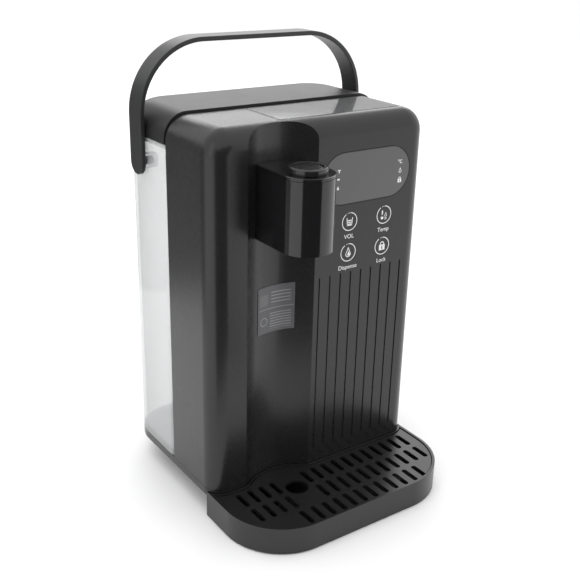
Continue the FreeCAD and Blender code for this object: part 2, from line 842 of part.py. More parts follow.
def base_pan():
    rear_body = plan_block(HALF, FRONT, REAR, s.base_underside, BASE_TOP, s.front_round, s.rear_round)
    slab = cut(rear_body, recess(as_size(0), 0, BASE_TOP + 1.0))
    floor_top = s.base_underside + s.base_floor
    front, rear = FRONT + s.wall, SEAM - s.wall
    inner = plan_block(HALF - s.wall, front, rear, floor_top, BASE_TOP + 1.0, s.front_round - s.wall)
    tray = cut(slab, cut(inner, recess(s.wall, floor_top - 1.0, BASE_TOP + 2.0)))
    skirt = cut(
        plinth_block(as_size(0), s.plinth_bottom, s.base_underside),
        plinth_block(s.wall, s.plinth_bottom - 1.0, s.base_underside + 1.0),
    )
    boss_height = s.base_underside - COVER_TOP
    hole_depth = s.base_underside - 1.0 - s.plinth_bottom
    bosses = [rod(x, y, COVER_TOP + 0.1, s.boss_radius, boss_height) for x, y, _ in COVER_SCREWS]
    holes = [rod(x, y, s.plinth_bottom, SCREW_HOLE, hole_depth) for x, y, _ in COVER_SCREWS]
    holes += [rod(x, y, z - 1.0, SCREW_HOLE, s.base_band + 2.0) for x, y, z in BASE_SCREWS]
    holes.append(rod(0, VALVE_Y, s.base_underside - 0.5, DOCK_RADIUS, s.base_band + 2.0))
    holes.append(rod(s.pump_place, WORKS_Y, s.base_underside - 1.0, s.hose_radius + 1.0, s.base_band))
    holes.append(rod(0, PLINTH_REAR - 10.0, GLAND_LEVEL, s.gland_radius, 20.0, "Y"))
    half = s.tongue_width / 2 + s.slide_gap
    for side in (-1, 1):
        x = side * s.tongue_place
        holes.append(block(x - half, x + half, PLINTH_FRONT - 1.0, PLINTH_FRONT + s.wall + 1.0,
                           TONGUE_LOW - s.slide_gap, TONGUE_LOW + s.tongue_height + s.slide_gap))
    return node("base_pan", cut(join(tray, skirt, *bosses), *holes))


TONGUE_LOW = s.tray_lift + 7.5


def base_cover():
    plate = plinth_block(s.wall + s.seam_gap, s.plinth_bottom, COVER_TOP)
    holes = [rod(x, y, z - 1.0, SCREW_HOLE, 10.0) for x, y, z in COVER_SCREWS]
    holes += [rod(x, y, 0, s.foot_stem + 0.1, 20.0) for x, y, _ in FOOT_PLACES]
    return node("base_cover", cut(plate, *holes))


def rubber_feet():
    feet = []
    for x, y, _ in FOOT_PLACES:
        corners = [
            (0, 0), (s.foot_radius - 1.0, 0), (s.foot_radius, 1.0), (s.foot_radius, s.plinth_bottom - 0.02),
            (s.foot_stem, s.plinth_bottom - 0.02), (s.foot_stem, COVER_TOP + 1.5), (0, COVER_TOP + 1.5),
        ]
        feet.append(turned(x, y, 0, corners))
    return node("rubber_feet", separate(*feet))


def cord_gland():
    """The bush in the plinth's rear wall that a supply cord enters by."""
    inner, outer = s.gland_radius - 0.15, s.gland_radius + 1.2
    thick = s.wall + 0.2
    corners = [
        (s.gland_bore, 0), (outer, 0), (outer, 2.0), (inner, 2.0), (inner, 2.0 + thick),
        (outer, 2.0 + thick), (outer, 4.0 + thick), (s.gland_bore, 4.0 + thick),
    ]
    return node("cord_gland", turned(0, PLINTH_REAR - s.wall - 2.1, GLAND_LEVEL, corners, "Y"))


# ---------------------------------------------------------------- tank, lid and handle


def tank_block(inset, z_low, z_high, front_inset=None):
    front = s.tank_wall if front_inset is None else front_inset
    corner = as_size(4.0) if inset.number == 0 else as_size(2.0)
    y_low, y_high = TANK_FRONT + front, REAR - inset
    return plan_block(HALF - inset, y_low, y_high, z_low, z_high, corner, s.rear_round - inset)


PIN_HOLE = s.pin_radius + s.pin_gap


def tank():
    outer = tank_block(as_size(0), TANK_LOW, s.tank_top, as_size(0))
    inner = tank_block(s.tank_wall, TANK_LOW + s.tank_floor, s.tank_top + 1.0)
    pieces = [cut(outer, inner)]
    holes = [rod(0, VALVE_Y, TANK_LOW - 1.0, s.valve_radius + 0.2, s.tank_floor + 2.0)]
    for side in (-1, 1):
        wall = HALF - s.tank_wall - s.pin_length
        start = wall if side > 0 else -HALF + s.tank_wall / 2
        boss_length = s.pin_length + s.tank_wall / 2
        pieces.append(rod(start, PIVOT_Y, s.pivot_height, s.pin_radius + 3.0, boss_length, "X"))
        hole = wall + 1.6 if side > 0 else -HALF - 1.0
        holes.append(rod(hole, PIVOT_Y, s.pivot_height, PIN_HOLE, s.pin_length + 1.8, "X"))
    return node("tank", cut(join(*pieces), *holes))


def lid_form(inset, z_low, z_high):
    front = TANK_FRONT + s.lid_gap + (inset if inset.number else as_size(0))
    body = plan_block(HALF - inset, front, REAR - inset, z_low, z_high, None, s.rear_round - inset)
    top, face = (as_size(z_high) - z_low).number, front.number
    round_edges(
        body,
        s.top_round - inset,
        lambda edge: near(edge.CenterOfMass.z, top)
        and near(spans(edge)[2], 0)
        and edge.BoundBox.YMax > face + 1,
    )
    return body


def tank_lid():
    low = s.tank_top + s.seam_gap
    shell = cut(lid_form(as_size(0), low, LID_TOP), lid_form(s.lid_wall, low - 1.0, LID_TOP - s.lid_wall))
    gap = s.tank_wall + s.seam_gap + s.seal_width
    front = s.tank_wall + s.seal_width + s.lid_gap
    top = LID_TOP - s.lid_wall + 0.1
    plug = cut(
        tank_block(gap, s.tank_top - s.lid_plug_depth, top, front),
        tank_block(gap + 2.0, s.tank_top - s.lid_plug_depth - 1.0, LID_TOP, front + 2.0),
    )
    trim = lid_form(s.lid_wall - 0.1, low - 20.0, LID_TOP - s.lid_wall + 0.1)
    return node("tank_lid", join(shell, overlap(plug, trim)))


def lid_seal():
    gap, low = s.tank_wall + s.seam_gap, s.tank_top - s.lid_plug_depth + 0.6
    inner = s.seal_width - 0.05
    ring = cut(
        tank_block(gap, low, low + 2.0, gap + 0.2),
        tank_block(gap + inner, low - 1.0, low + 3.0, s.tank_wall + s.lid_gap + inner),
    )
    return node("lid_seal", ring)


HANDLE_INNER = HALF + s.handle_gap
HANDLE_OUTER = HANDLE_INNER + s.handle_thickness


def carry_handle():
    low = s.pivot_height - s.handle_width / 2
    under = s.handle_top - s.handle_thickness
    body = fresh("PartDesign::Body", "HandleBody")
    sketch = new_sketch(body, "XZ_Plane")
    polygon(sketch, [
        (-HANDLE_OUTER, low), (-HANDLE_INNER, low), (-HANDLE_INNER, under), (HANDLE_INNER, under),
        (HANDLE_INNER, low), (HANDLE_OUTER, low), (HANDLE_OUTER, s.handle_top), (-HANDLE_OUTER, s.handle_top),
    ])
    pad(body, sketch, s.handle_width, middle=True)
    upright = lambda edge: near(spans(edge)[0] + spans(edge)[2], 0)
    round_edges(
        body,
        s.handle_round,
        lambda edge: upright(edge) and near(edge.CenterOfMass.z, s.handle_top.number),
    )
    round_edges(
        body,
        s.handle_round - s.handle_thickness,
        lambda edge: upright(edge) and near(edge.CenterOfMass.z, under.number),
    )
    across = lambda edge: near(spans(edge)[1] + spans(edge)[2], 0)
    round_edges(
        body,
        s.handle_width / 2 - 0.05,
        lambda edge: across(edge) and near(edge.CenterOfMass.z, low.number),
    )
    round_edges(body, s.handle_edge, lambda edge: edge.Length > 30 and spans(edge)[1] < 0.5)
    place(body, 0, PIVOT_Y, 0)
    holes = [rod(-HANDLE_OUTER + 1.0, PIVOT_Y, s.pivot_height, s.pin_radius + 0.02, s.handle_thickness, "X"),
             rod(HANDLE_INNER - 1.0, PIVOT_Y, s.pivot_height, s.pin_radius + 0.02, s.handle_thickness, "X")]
    return node("carry_handle", cut(body, *holes))


def handle_pins():
    """Pivot pins fixed in the handle's legs and turning in the tank's blind bosses."""
    reach = s.handle_gap + s.pin_length
    length = reach + s.handle_thickness - 1.1
    pins = [
        rod(-HANDLE_OUTER + 1.1, PIVOT_Y, s.pivot_height, s.pin_radius, length, "X"),
        rod(HANDLE_INNER - reach, PIVOT_Y, s.pivot_height, s.pin_radius, length, "X"),
    ]
    return node("handle_pins", separate(*pins))


# ---------------------------------------------------------------- valve and dock

VALVE_LOW = TANK_LOW - 5.0
SEAT_TOP = VALVE_LOW + 1.5
POPPET_LOW = SEAT_TOP + s.valve_lift
FLANGE_LOW = TANK_LOW + s.tank_floor + 0.05
CAGE_TOP = FLANGE_LOW + 9.0
NUT_RADIUS = s.valve_radius + 3.8


def valve_body():
    seat = s.valve_bore - 2.5
    corners = [
        (seat, VALVE_LOW), (s.valve_radius, VALVE_LOW), (s.valve_radius, FLANGE_LOW),
        (s.valve_radius + 5.0, FLANGE_LOW), (s.valve_radius + 5.0, FLANGE_LOW + 2.0),
        (s.valve_bore, FLANGE_LOW + 2.0), (s.valve_bore, SEAT_TOP), (seat, SEAT_TOP),
    ]
    return node("valve_body", turned(0, VALVE_Y, 0, corners))


def valve_nut():
    low = TANK_LOW - 2.4
    corners = [
        (s.valve_radius + 0.1, low), (NUT_RADIUS, low), (NUT_RADIUS, TANK_LOW - 0.05),
        (s.valve_radius + 0.1, TANK_LOW - 0.05),
    ]
    return node("valve_nut", turned(0, VALVE_Y, 0, corners))


def valve_stem():
    rod_radius, low = as_size(1.6), VALVE_LOW - 1.2 + s.valve_lift
    disc = s.valve_bore - 0.8
    corners = [
        (0, low), (rod_radius, low), (rod_radius, POPPET_LOW + 0.8), (disc, POPPET_LOW + 0.8),
        (disc, POPPET_LOW + 2.2), (rod_radius, POPPET_LOW + 2.2), (rod_radius, CAGE_TOP + 4.0),
        (0, CAGE_TOP + 4.0),
    ]
    return node("valve_stem", turned(0, VALVE_Y, 0, corners))


def valve_seal():
    corners = [
        (1.7, POPPET_LOW), (s.valve_bore - 1.0, POPPET_LOW), (s.valve_bore - 1.0, POPPET_LOW + 0.75),
        (1.7, POPPET_LOW + 0.75),
    ]
    return node("valve_seal", turned(0, VALVE_Y, 0, corners))


def valve_guide():
    """The cage that guides the stem and holds the spring, open on four sides."""
    low, top_low = FLANGE_LOW + 2.05, CAGE_TOP - 1.6
    outer, inner = s.valve_bore + 2.6, s.valve_bore
    corners = [
        (inner, low), (outer, low), (outer, CAGE_TOP), (1.9, CAGE_TOP), (1.9, top_low), (inner, top_low),
    ]
    cage = turned(0, VALVE_Y, 0, corners)
    windows = [
        block(-30.0, 30.0, VALVE_Y - 3.5, VALVE_Y + 3.5, low + 1.5, top_low),
        block(-3.5, 3.5, VALVE_Y - 30.0, VALVE_Y + 30.0, low + 1.5, top_low),
    ]
    return node("valve_guide", cut(cage, *windows))


def valve_spring():
    low = POPPET_LOW + 2.25
    return node("valve_spring", coil(0, VALVE_Y, low, 4.0, 0.35, CAGE_TOP - 1.65 - low, 4))


DOCK_STEP = TANK_LOW - 3.6
DOCK_SUMP = COVER_TOP + 2.6


def dock_socket():
    """The cup in the base that takes the tank's valve; its pin lifts the stem."""
    bore, cup = s.valve_radius + s.dock_clearance, NUT_RADIUS + s.dock_clearance
    outer = DOCK_RADIUS - 0.2
    low = COVER_TOP + 0.6
    corners = [
        (0, low), (bore + 1.6, low), (bore + 1.6, DOCK_STEP - 2.0), (outer, DOCK_STEP - 2.0),
        (outer, BASE_TOP - 0.1), (cup, BASE_TOP - 0.1), (cup, DOCK_STEP), (bore, DOCK_STEP),
        (bore, DOCK_SUMP),
        (1.4, DOCK_SUMP), (1.4, VALVE_LOW - 1.3 + s.valve_lift), (0, VALVE_LOW - 1.3 + s.valve_lift),
    ]
    cup_solid = turned(0, VALVE_Y, 0, corners)
    barb_start = VALVE_Y - bore - 12.0
    barb = rod(0, barb_start, DOCK_OUTLET, s.barb_radius, 11.5, "Y")
    drain = rod(0, barb_start - 1.0, DOCK_OUTLET, 1.5, bore.number, "Y")
    return node("dock_socket", cut(join(cup_solid, barb), drain))


DOCK_OUTLET = DOCK_SUMP + 2.6


def dock_seal():
    corners = [
        (s.valve_radius + 0.8, DOCK_STEP + 0.02), (NUT_RADIUS + 0.3, DOCK_STEP + 0.02),
        (NUT_RADIUS + 0.3, DOCK_STEP + 1.0), (s.valve_radius + 0.8, DOCK_STEP + 1.0),
    ]
    return node("dock_seal", turned(0, VALVE_Y, 0, corners))


def dock_screen():
    """A perforated strainer disc above the dock's outlet."""
    low = DOCK_OUTLET + s.barb_radius + 0.3
    radius = s.valve_radius + s.dock_clearance - 0.15
    holes = [rod(0, VALVE_Y, low - 1.0, 1.7, 3.0)]
    for ring, count in ((4.2, 8), (7.0, 12), (9.8, 16)):
        for index in range(count):
            angle = 2 * math.pi * index / count
            holes.append(rod(ring * math.cos(angle), VALVE_Y + ring * math.sin(angle), low - 1.0, 0.8, 3.0))
    return node("dock_screen", cut(rod(0, VALVE_Y, low, radius, 0.8), *holes))


# ---------------------------------------------------------------- drip tray and grille


def tray_block(inset, z_low, z_high):
    return plan_block(HALF - inset, FRONT - s.tray_reach + inset, FRONT + s.front_round, z_low, z_high,
                      s.tray_round - inset)


def tray_shape(side_inset, rear_inset, z_low, z_high):
    """A piece of the D-shaped tray, set in from its wall and from the body's front."""
    away = body_line(s.tray_gap + rear_inset, as_size(z_low) - 1.0, as_size(z_high) + 1.0)
    return cut(tray_block(side_inset, z_low, z_high), away)


def drip_tray():
    outer = tray_shape(as_size(0), as_size(0), s.tray_lift, s.tray_height)
    hollow = tray_shape(s.tray_wall, s.tray_lip, s.tray_lift + s.tray_floor, s.tray_height + 1.0)
    posts = []
    post_low = s.tray_lift + 1.0
    for side in (-1, 1):
        for depth in (20.0, 50.0):
            posts.append(rod(side * 52.0, FRONT - depth, post_low, 3.0, GRILLE_LOW - 0.05 - post_low))
        x = side * s.tongue_place
        half = s.tongue_width / 2
        posts.append(block(x - half, x + half, FRONT - s.tray_gap - 0.6, FRONT + s.tongue_length,
                           TONGUE_LOW, TONGUE_LOW + s.tongue_height))
    return node("drip_tray", join(cut(outer, hollow), *posts))


def drip_grille():
    plate = tray_shape(s.tray_wall + s.grille_gap, s.tray_lip + s.grille_gap, GRILLE_LOW, GRILLE_TOP)
    beside = s.finger_radius + 5.5
    first = FRONT - s.slot_first_row
    rows = [
        (HEAD_X + 3.4 + beside, 11, first), (HEAD_X + 3.4 - beside - 3 * s.slot_pitch, 4, first),
        (HEAD_X + 3.4 + beside, 11, first - s.slot_row_pitch),
        (HEAD_X + 3.4 - beside - 3 * s.slot_pitch, 4, first - s.slot_row_pitch),
        (HEAD_X + 3.4 + beside - 3 * s.slot_pitch, 12, first - 2 * s.slot_row_pitch),
    ]
    holes = [rod(HEAD_X + 3.4, FINGER_Y, GRILLE_LOW - 1.0, s.finger_radius, 10.0)]
    for x, count, y in rows:
        row = slot_row(s.slot_width, s.slot_length, s.slot_pitch, as_size(count), s.grille_thickness + 2.0)
        holes.append(place(row, x, y, GRILLE_LOW - 1.0))
    return node("drip_grille", cut(plate, *holes))


# ---------------------------------------------------------------- water path inside

PUMP_HEAD_TOP = s.pump_low + 18.0
HEATER_TOP = HOSE_LEVEL - s.heater_headroom
HEATER_LENGTH = HEATER_TOP - s.heater_low
PORT_LEVEL = s.pump_low + 9.0


def pump_head():
    x = s.pump_place
    case = rod(x, WORKS_Y, s.pump_low, s.pump_radius, 18.0)
    inlet = rod(x, WORKS_Y, s.pump_low - 6.0, s.barb_radius, 7.0)
    outlet = rod(x - s.pump_radius - 9.0, WORKS_Y, PORT_LEVEL, s.barb_radius, 10.0, "X")
    return node("pump_head", join(case, inlet, outlet))


def pump_motor():
    case = rod(s.pump_place, WORKS_Y, PUMP_HEAD_TOP + 0.05, s.pump_radius - 3.0, 38.0)
    cap = rod(s.pump_place, WORKS_Y, PUMP_HEAD_TOP + 38.0, 5.0, 3.0)
    return node("pump_motor", join(case, cap))


def pump_mount():
    """The rubber cradle between the pump and the base's floor."""
    low = s.base_underside + s.base_floor + 0.05
    reach = s.pump_radius + 3.0
    x, y = s.pump_place, WORKS_Y
    foot = block(x - reach, x + reach, y - reach, y + reach, low, s.pump_low + 4.0)
    well = rod(x, y, s.pump_low - 0.05, s.pump_radius + 0.1, 20.0)
    hole = rod(x, y, low - 1.0, s.hose_radius + 1.0, 20.0)
    return node("pump_mount", cut(foot, well, hole))


def flow_meter():
    x = s.meter_place
    case = rod(x, WORKS_Y, PORT_LEVEL - 10.0, 12.0, 20.0)
    ports = [rod(x + 11.0, WORKS_Y, PORT_LEVEL, s.barb_radius, 10.0, "X"),
             rod(x - 21.0, WORKS_Y, PORT_LEVEL, s.barb_radius, 10.0, "X")]
    return node("flow_meter", join(case, *ports))


def heater_tube():
    pipe = cut(
        rod(HEAD_X, WORKS_Y, s.heater_low, s.heater_radius, HEATER_LENGTH),
        rod(HEAD_X, WORKS_Y, s.heater_low - 1.0, s.heater_radius - 1.2, HEATER_LENGTH + 2.0),
    )
    return node("heater_tube", pipe)


def heater_caps():
    ends = []
    for low, port in ((s.heater_low - 8.05, s.heater_low - 15.0), (HEATER_TOP + 0.05, HEATER_TOP + 7.0)):
        disc = rod(HEAD_X, WORKS_Y, low, s.heater_radius + 1.5, 8.0)
        barb = rod(HEAD_X, WORKS_Y, port, s.barb_radius, 8.0)
        bore = rod(HEAD_X, WORKS_Y, port - 1.0, 1.5, 17.0)
        ends.append(cut(join(disc, barb), bore))
    return node("heater_caps", separate(*ends))


CLIP_INSET = 7.5


def heater_clips():
    clips = []
    for z in (s.heater_low + CLIP_INSET, HEATER_TOP - CLIP_INSET):
        ring = rod(HEAD_X, WORKS_Y, z - 5.0, s.heater_radius + 2.2, 10.0)
        arm = block(HEAD_X - 12.0, HEAD_X + 12.0, WORKS_Y + 10.0, BULKHEAD_FRONT - 0.05, z - 5.0, z + 5.0)
        hole = rod(HEAD_X, WORKS_Y, z - 6.0, s.heater_radius + 0.1, 12.0)
        clips.append(cut(join(ring, arm), hole))
    return node("heater_clips", separate(*clips))


def thermal_cutouts():
    """Two safety cut-outs held against the heater's wall."""
    x = HEAD_X + s.heater_radius + 0.3
    z = s.heater_low + HEATER_LENGTH / 2
    discs = [rod(x, WORKS_Y, z + offset, 7.0, 5.0, "X") for offset in (-10.0, 10.0)]
    return node("thermal_cutouts", separate(*discs))


def temperature_probe():
    start = HEAD_X + s.heater_radius + 1.6
    level = HEATER_TOP + 4.0
    probe = join(rod(start, WORKS_Y, level, 2.0, 8.0, "X"), rod(start + 7.0, WORKS_Y, level, 3.0, 4.0, "X"))
    return node("temperature_probe", probe)


def hose_suction():
    start = VALVE_Y - s.valve_radius - s.dock_clearance - 3.0
    x, rise = s.pump_place, s.pump_low - 1.0
    route = [(0, start, DOCK_OUTLET), (0, start - 18.0, DOCK_OUTLET), (x, WORKS_Y + 22.0, DOCK_OUTLET),
             (x, WORKS_Y, DOCK_OUTLET), (x, WORKS_Y, rise)]
    return node("hose_suction", tube(route, 8.0))


def hose_pump():
    start, end = s.pump_place - s.pump_radius - 1.0, s.meter_place + 13.0
    return node("hose_pump", tube([(start, WORKS_Y, PORT_LEVEL), (end, WORKS_Y, PORT_LEVEL)], 8.0))


def hose_heater():
    route = [(s.meter_place - 13.0, WORKS_Y, PORT_LEVEL), (HEAD_X, WORKS_Y, PORT_LEVEL),
             (HEAD_X, WORKS_Y, s.heater_low - 9.0)]
    return node("hose_heater", tube(route, 10.0))


def hose_outlet():
    route = [(HEAD_X, WORKS_Y, HEATER_TOP + 9.0), (HEAD_X, WORKS_Y, HOSE_LEVEL), (HEAD_X, HEAD_Y, HOSE_LEVEL),
             (HEAD_X, HEAD_Y, HOSE_LEVEL - 13.0)]
    return node("hose_outlet", tube(route, 8.0))


# ---------------------------------------------------------------- power board and screws

POWER_Y = BULKHEAD_FRONT - 6.0 - s.board_thickness
POWER_HOLES = [(x, z) for x in (12.0, 72.0) for z in (116.0, 176.0)]


def power_board():
    plate = block(8.0, 76.0, POWER_Y, POWER_Y + s.board_thickness, 112.0, 180.0)
    holes = [rod(x, POWER_Y - 1.0, z, SCREW_HOLE, 5.0, "Y") for x, z in POWER_HOLES]
    return node("power_board", cut(plate, *holes))


def power_parts():
    """Relay, transformer, smoothing capacitor and terminal block on the power board."""
    face = POWER_Y - 0.05
    parts = [
        block(18.0, 34.0, face - 15.0, face, 150.0, 172.0),
        block(40.0, 64.0, face - 18.0, face, 146.0, 170.0),
        rod(28.0, face - 20.0, 130.0, 6.5, 20.0, "Y"),
        block(42.0, 66.0, face - 11.0, face, 120.0, 130.0),
    ]
    return node("power_parts", separate(*parts))


def board_spacers():
    length = BULKHEAD_FRONT - 0.05 - (POWER_Y + s.board_thickness + 0.05)
    spacers = []
    for x, z in POWER_HOLES:
        start = POWER_Y + s.board_thickness + 0.05
        bore = rod(x, start - 1.0, z, SCREW_HOLE, length + 2.0, "Y")
        spacers.append(cut(rod(x, start, z, 3.0, length, "Y"), bore))
    return node("board_spacers", separate(*spacers))


def board_screws():
    return node("board_screws", screws([(x, POWER_Y - 0.05, z) for x, z in POWER_HOLES], 7.0, "Y", 1))


def base_screws():
    points = [(x, y, z - 0.02) for x, y, z in BASE_SCREWS]
    return node("base_screws", screws(points, s.base_band + 8.0, "Z", 1))


def cover_screws():
    points = [(x, y, z - 0.02) for x, y, z in COVER_SCREWS]
    return node("cover_screws", screws(points, 9.0, "Z", 1))


def panel_screws():
    points = [(x, y + 0.02, z) for x, y, z in PANEL_SCREWS]
    return node("panel_screws", screws(points, 10.0, "Y", -1))


def head_screws():
    points = [(x, y + 0.4, z) for x, y, z in HEAD_SCREWS]
    return node("head_screws", screws(points, 9.0, "Y", -1))


# ---------------------------------------------------------------- build, check, write

PARTS = [
    front_housing, rear_bulkhead, display_window, display_module, control_board, touch_springs,
    info_label, top_film,
    spout_head, spout_cap, button_collar, push_button, button_guide, button_spring, micro_switch,
    nozzle, nozzle_sieve,
    base_pan, base_cover, rubber_feet, cord_gland,
    tank, tank_lid, lid_seal, carry_handle, handle_pins,
    valve_body, valve_nut, valve_stem, valve_seal, valve_guide, valve_spring,
    dock_socket, dock_seal, dock_screen,
    drip_tray, drip_grille,
    pump_head, pump_motor, pump_mount, flow_meter,
    heater_tube, heater_caps, heater_clips, thermal_cutouts, temperature_probe,
    hose_suction, hose_pump, hose_heater, hose_outlet,
    power_board, power_parts, board_spacers,
    board_screws, base_screws, cover_screws, panel_screws, head_screws,
]
for make in PARTS:
    make()
doc.recompute()

for item in made:
    if "Invalid" in item.State or "Error" in item.State:
        raise RuntimeError(f"{item.Name} failed: {item.State}")
for item in nodes:
    shape = item.Shape
    if shape.isNull() or not shape.isValid() or not shape.Solids:
        raise RuntimeError(f"{item.Label} has no valid solid")
    shape.exportStep(f"parts/{item.Label}.step")
    print(f"{item.Label}: {len(shape.Solids)} solid(s), {shape.Volume:.0f} mm3")
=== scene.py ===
import math

import bmesh
import bpy
from bpy.props import FloatProperty, FloatVectorProperty, PointerProperty
from mathutils import Matrix, Vector


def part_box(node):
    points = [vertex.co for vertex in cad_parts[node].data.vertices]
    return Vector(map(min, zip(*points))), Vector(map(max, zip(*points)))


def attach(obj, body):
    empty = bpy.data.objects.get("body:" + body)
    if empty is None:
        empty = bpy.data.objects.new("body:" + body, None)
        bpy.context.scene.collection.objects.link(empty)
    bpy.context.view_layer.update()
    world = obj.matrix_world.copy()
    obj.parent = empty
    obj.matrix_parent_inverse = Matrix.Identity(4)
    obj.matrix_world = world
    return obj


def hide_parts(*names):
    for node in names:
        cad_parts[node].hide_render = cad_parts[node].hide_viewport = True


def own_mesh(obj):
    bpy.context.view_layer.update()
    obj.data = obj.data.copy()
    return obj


# Looks of a countertop water dispenser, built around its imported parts.
# Metres, +Z up, the front faces -Y, and every finished piece has its place in its mesh.

bl_info = {
    "name": "Countertop Water Dispenser",
    "version": (1, 0, 0),
    "blender": (4, 5, 0),
    "location": "View3D > Sidebar > Dispenser",
    "description": "Moulded shells, clear tank, touch field and studio for a countertop water dispenser",
    "category": "Add Mesh",
}

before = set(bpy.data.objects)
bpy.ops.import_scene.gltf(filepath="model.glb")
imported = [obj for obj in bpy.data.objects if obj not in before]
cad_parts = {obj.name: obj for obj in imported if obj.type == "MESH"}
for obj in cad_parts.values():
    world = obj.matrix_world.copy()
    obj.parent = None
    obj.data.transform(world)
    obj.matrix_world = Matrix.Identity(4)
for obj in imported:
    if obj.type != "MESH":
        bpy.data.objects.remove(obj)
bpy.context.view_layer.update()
MM = 0.001
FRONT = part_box("front_housing")[0][1]

# edges that turn more than CRISP are rounded, less than FLAT are merged into one face
CRISP = math.radians(32.0)
FLAT = math.radians(0.6)
WIRE_TURN = math.radians(40.0)
WELD = 0.004 * MM

CAPTION_DROP = 11.6 * MM
CAPITALS_SHARE = 0.72
RIGHT_MARKS = 69.8 * MM
LEFT_MARKS = 11.7 * MM

# the raster behind the display window, and the painted shade round it that stands for the gap
DOT_PITCH = 1.6 * MM
DOT_HALF = 0.28 * MM
GAP_SHADE_WIDTH = 0.6 * MM

# the boards' copper and pads
TRACK_PITCH_X, TRACK_WIDTH_X = 2.1 * MM, 0.55 * MM
TRACK_PITCH_Z, TRACK_WIDTH_Z = 3.3 * MM, 0.5 * MM
PAD_PITCH = 5.08 * MM
PAD_HALF = 0.55 * MM

# the stage, in metres and degrees from the front
FLOOR_SIZE = 12
AIM = (0.0, 0.0, 0.2)
SOFT_BOXES = {
    "overhead": ((-0.2, 0.1, 1.7), 1.4, 1.4),
    "rear": ((1.15, 1.65, 1.15), 1.8, 0.9),
    "side": ((-1.4, -0.5, 0.8), 0.5, 1.4),
}
CARD_RISE = 0.002
CARD_STEPS = 90
CARDS = {
    "front_card": (0.28, 0.50, (-17.0, 52.0), 0.45, "dark card"),
    "left_card": (0.48, 0.90, (104.0, 176.0), 0.50, "grey card"),
}
CAMERA_PLACE = (-0.381, -0.534, 0.425)
AZIMUTH, PITCH, ROLL = (math.radians(angle) for angle in (-35.27, 22.12, 1.44))


# ---------------------------------------------------------------- settings


class DispenserColours(bpy.types.PropertyGroup):
    """Colours of the finishes."""

    body: FloatVectorProperty(
        name="Body", description="Satin moulded shells", subtype="COLOR", size=4,
        default=(0.0125, 0.0125, 0.0135, 1.0))
    gloss: FloatVectorProperty(
        name="Spout", description="Glossy spout head", subtype="COLOR", size=4,
        default=(0.0075, 0.0075, 0.0082, 1.0))
    handle: FloatVectorProperty(
        name="Handle", description="Carrying handle", subtype="COLOR", size=4,
        default=(0.017, 0.0175, 0.0185, 1.0))
    tray: FloatVectorProperty(
        name="Tray", description="Drip tray and grille", subtype="COLOR", size=4,
        default=(0.0135, 0.0135, 0.014, 1.0))
    window: FloatVectorProperty(
        name="Window", description="Display window", subtype="COLOR", size=4,
        default=(0.050, 0.050, 0.052, 1.0))
    tank: FloatVectorProperty(
        name="Tank", description="Clear tank wall", subtype="COLOR", size=4,
        default=(0.62, 0.635, 0.64, 1.0))
    print_white: FloatVectorProperty(
        name="Print", description="Symbols of the touch field", subtype="COLOR", size=4,
        default=(0.80, 0.80, 0.80, 1.0))
    label: FloatVectorProperty(
        name="Label", description="Plate in the channel", subtype="COLOR", size=4,
        default=(0.10, 0.10, 0.105, 1.0))


class DispenserSizes(bpy.types.PropertyGroup):
    """Sizes of the printed and eased details."""

    ring_diameter: FloatProperty(
        name="Key ring", description="Outside of a touch key's ring", default=0.0142, unit="LENGTH")
    ring_line: FloatProperty(
        name="Ring line", description="Width of a ring's line", default=0.0006, unit="LENGTH")
    print_rise: FloatProperty(
        name="Print rise", description="How far print stands off the face", default=0.00006, unit="LENGTH")
    caption_height: FloatProperty(
        name="Caption", description="Height of a caption's capitals", default=0.003444, unit="LENGTH")
    shell_ease: FloatProperty(
        name="Shell edges", description="Rounding of the shells' edges", default=0.0006, unit="LENGTH")
    fine_ease: FloatProperty(
        name="Fine edges", description="Rounding of small parts' edges", default=0.0003, unit="LENGTH")


class DispenserStudio(bpy.types.PropertyGroup):
    """The room around the dispenser."""

    room: FloatProperty(
        name="Room", description="Brightness of the pale room", default=1.045, subtype="FACTOR")
    overhead: FloatProperty(
        name="Overhead", description="Power of the soft box above", default=8.0, unit="POWER")
    rear: FloatProperty(
        name="Rear", description="Power of the soft box behind", default=8.5, unit="POWER")
    side: FloatProperty(
        name="Side", description="Power of the soft box on the left", default=1.2, unit="POWER")
    lens: FloatProperty(
        name="Lens", description="Camera focal length", default=56.19, subtype="DISTANCE_CAMERA")


# ---------------------------------------------------------------- shader sums


class Wire:
    """A shader value that takes part in sums; each sum adds its Math node."""

    def __init__(self, finish, socket):
        self.finish = finish
        self.socket = socket

    def math(self, operation, first, second):
        return self.finish.add("ShaderNodeMath", {"operation": operation}, {0: first, 1: second})

    def __add__(self, other):
        return self.math("ADD", self, other)

    def __radd__(self, other):
        return self.math("ADD", other, self)

    def __sub__(self, other):
        return self.math("SUBTRACT", self, other)

    def __rsub__(self, other):
        return self.math("SUBTRACT", other, self)

    def __mul__(self, other):
        return self.math("MULTIPLY", self, other)

    def __rmul__(self, other):
        return self.math("MULTIPLY", other, self)

    def __truediv__(self, other):
        return self.math("DIVIDE", self, other)

    def __gt__(self, other):
        return self.math("GREATER_THAN", self, other)

    def __lt__(self, other):
        return self.math("LESS_THAN", self, other)

    def __abs__(self):
        return self.math("ABSOLUTE", self, 0.0)

    def repeat(self, step):
        """The value's place inside a repeating step, from 0 to the step."""
        return self.math("MODULO", self + 100 * step, step)

    def bigger(self, other):
        return self.math("MAXIMUM", self, other)


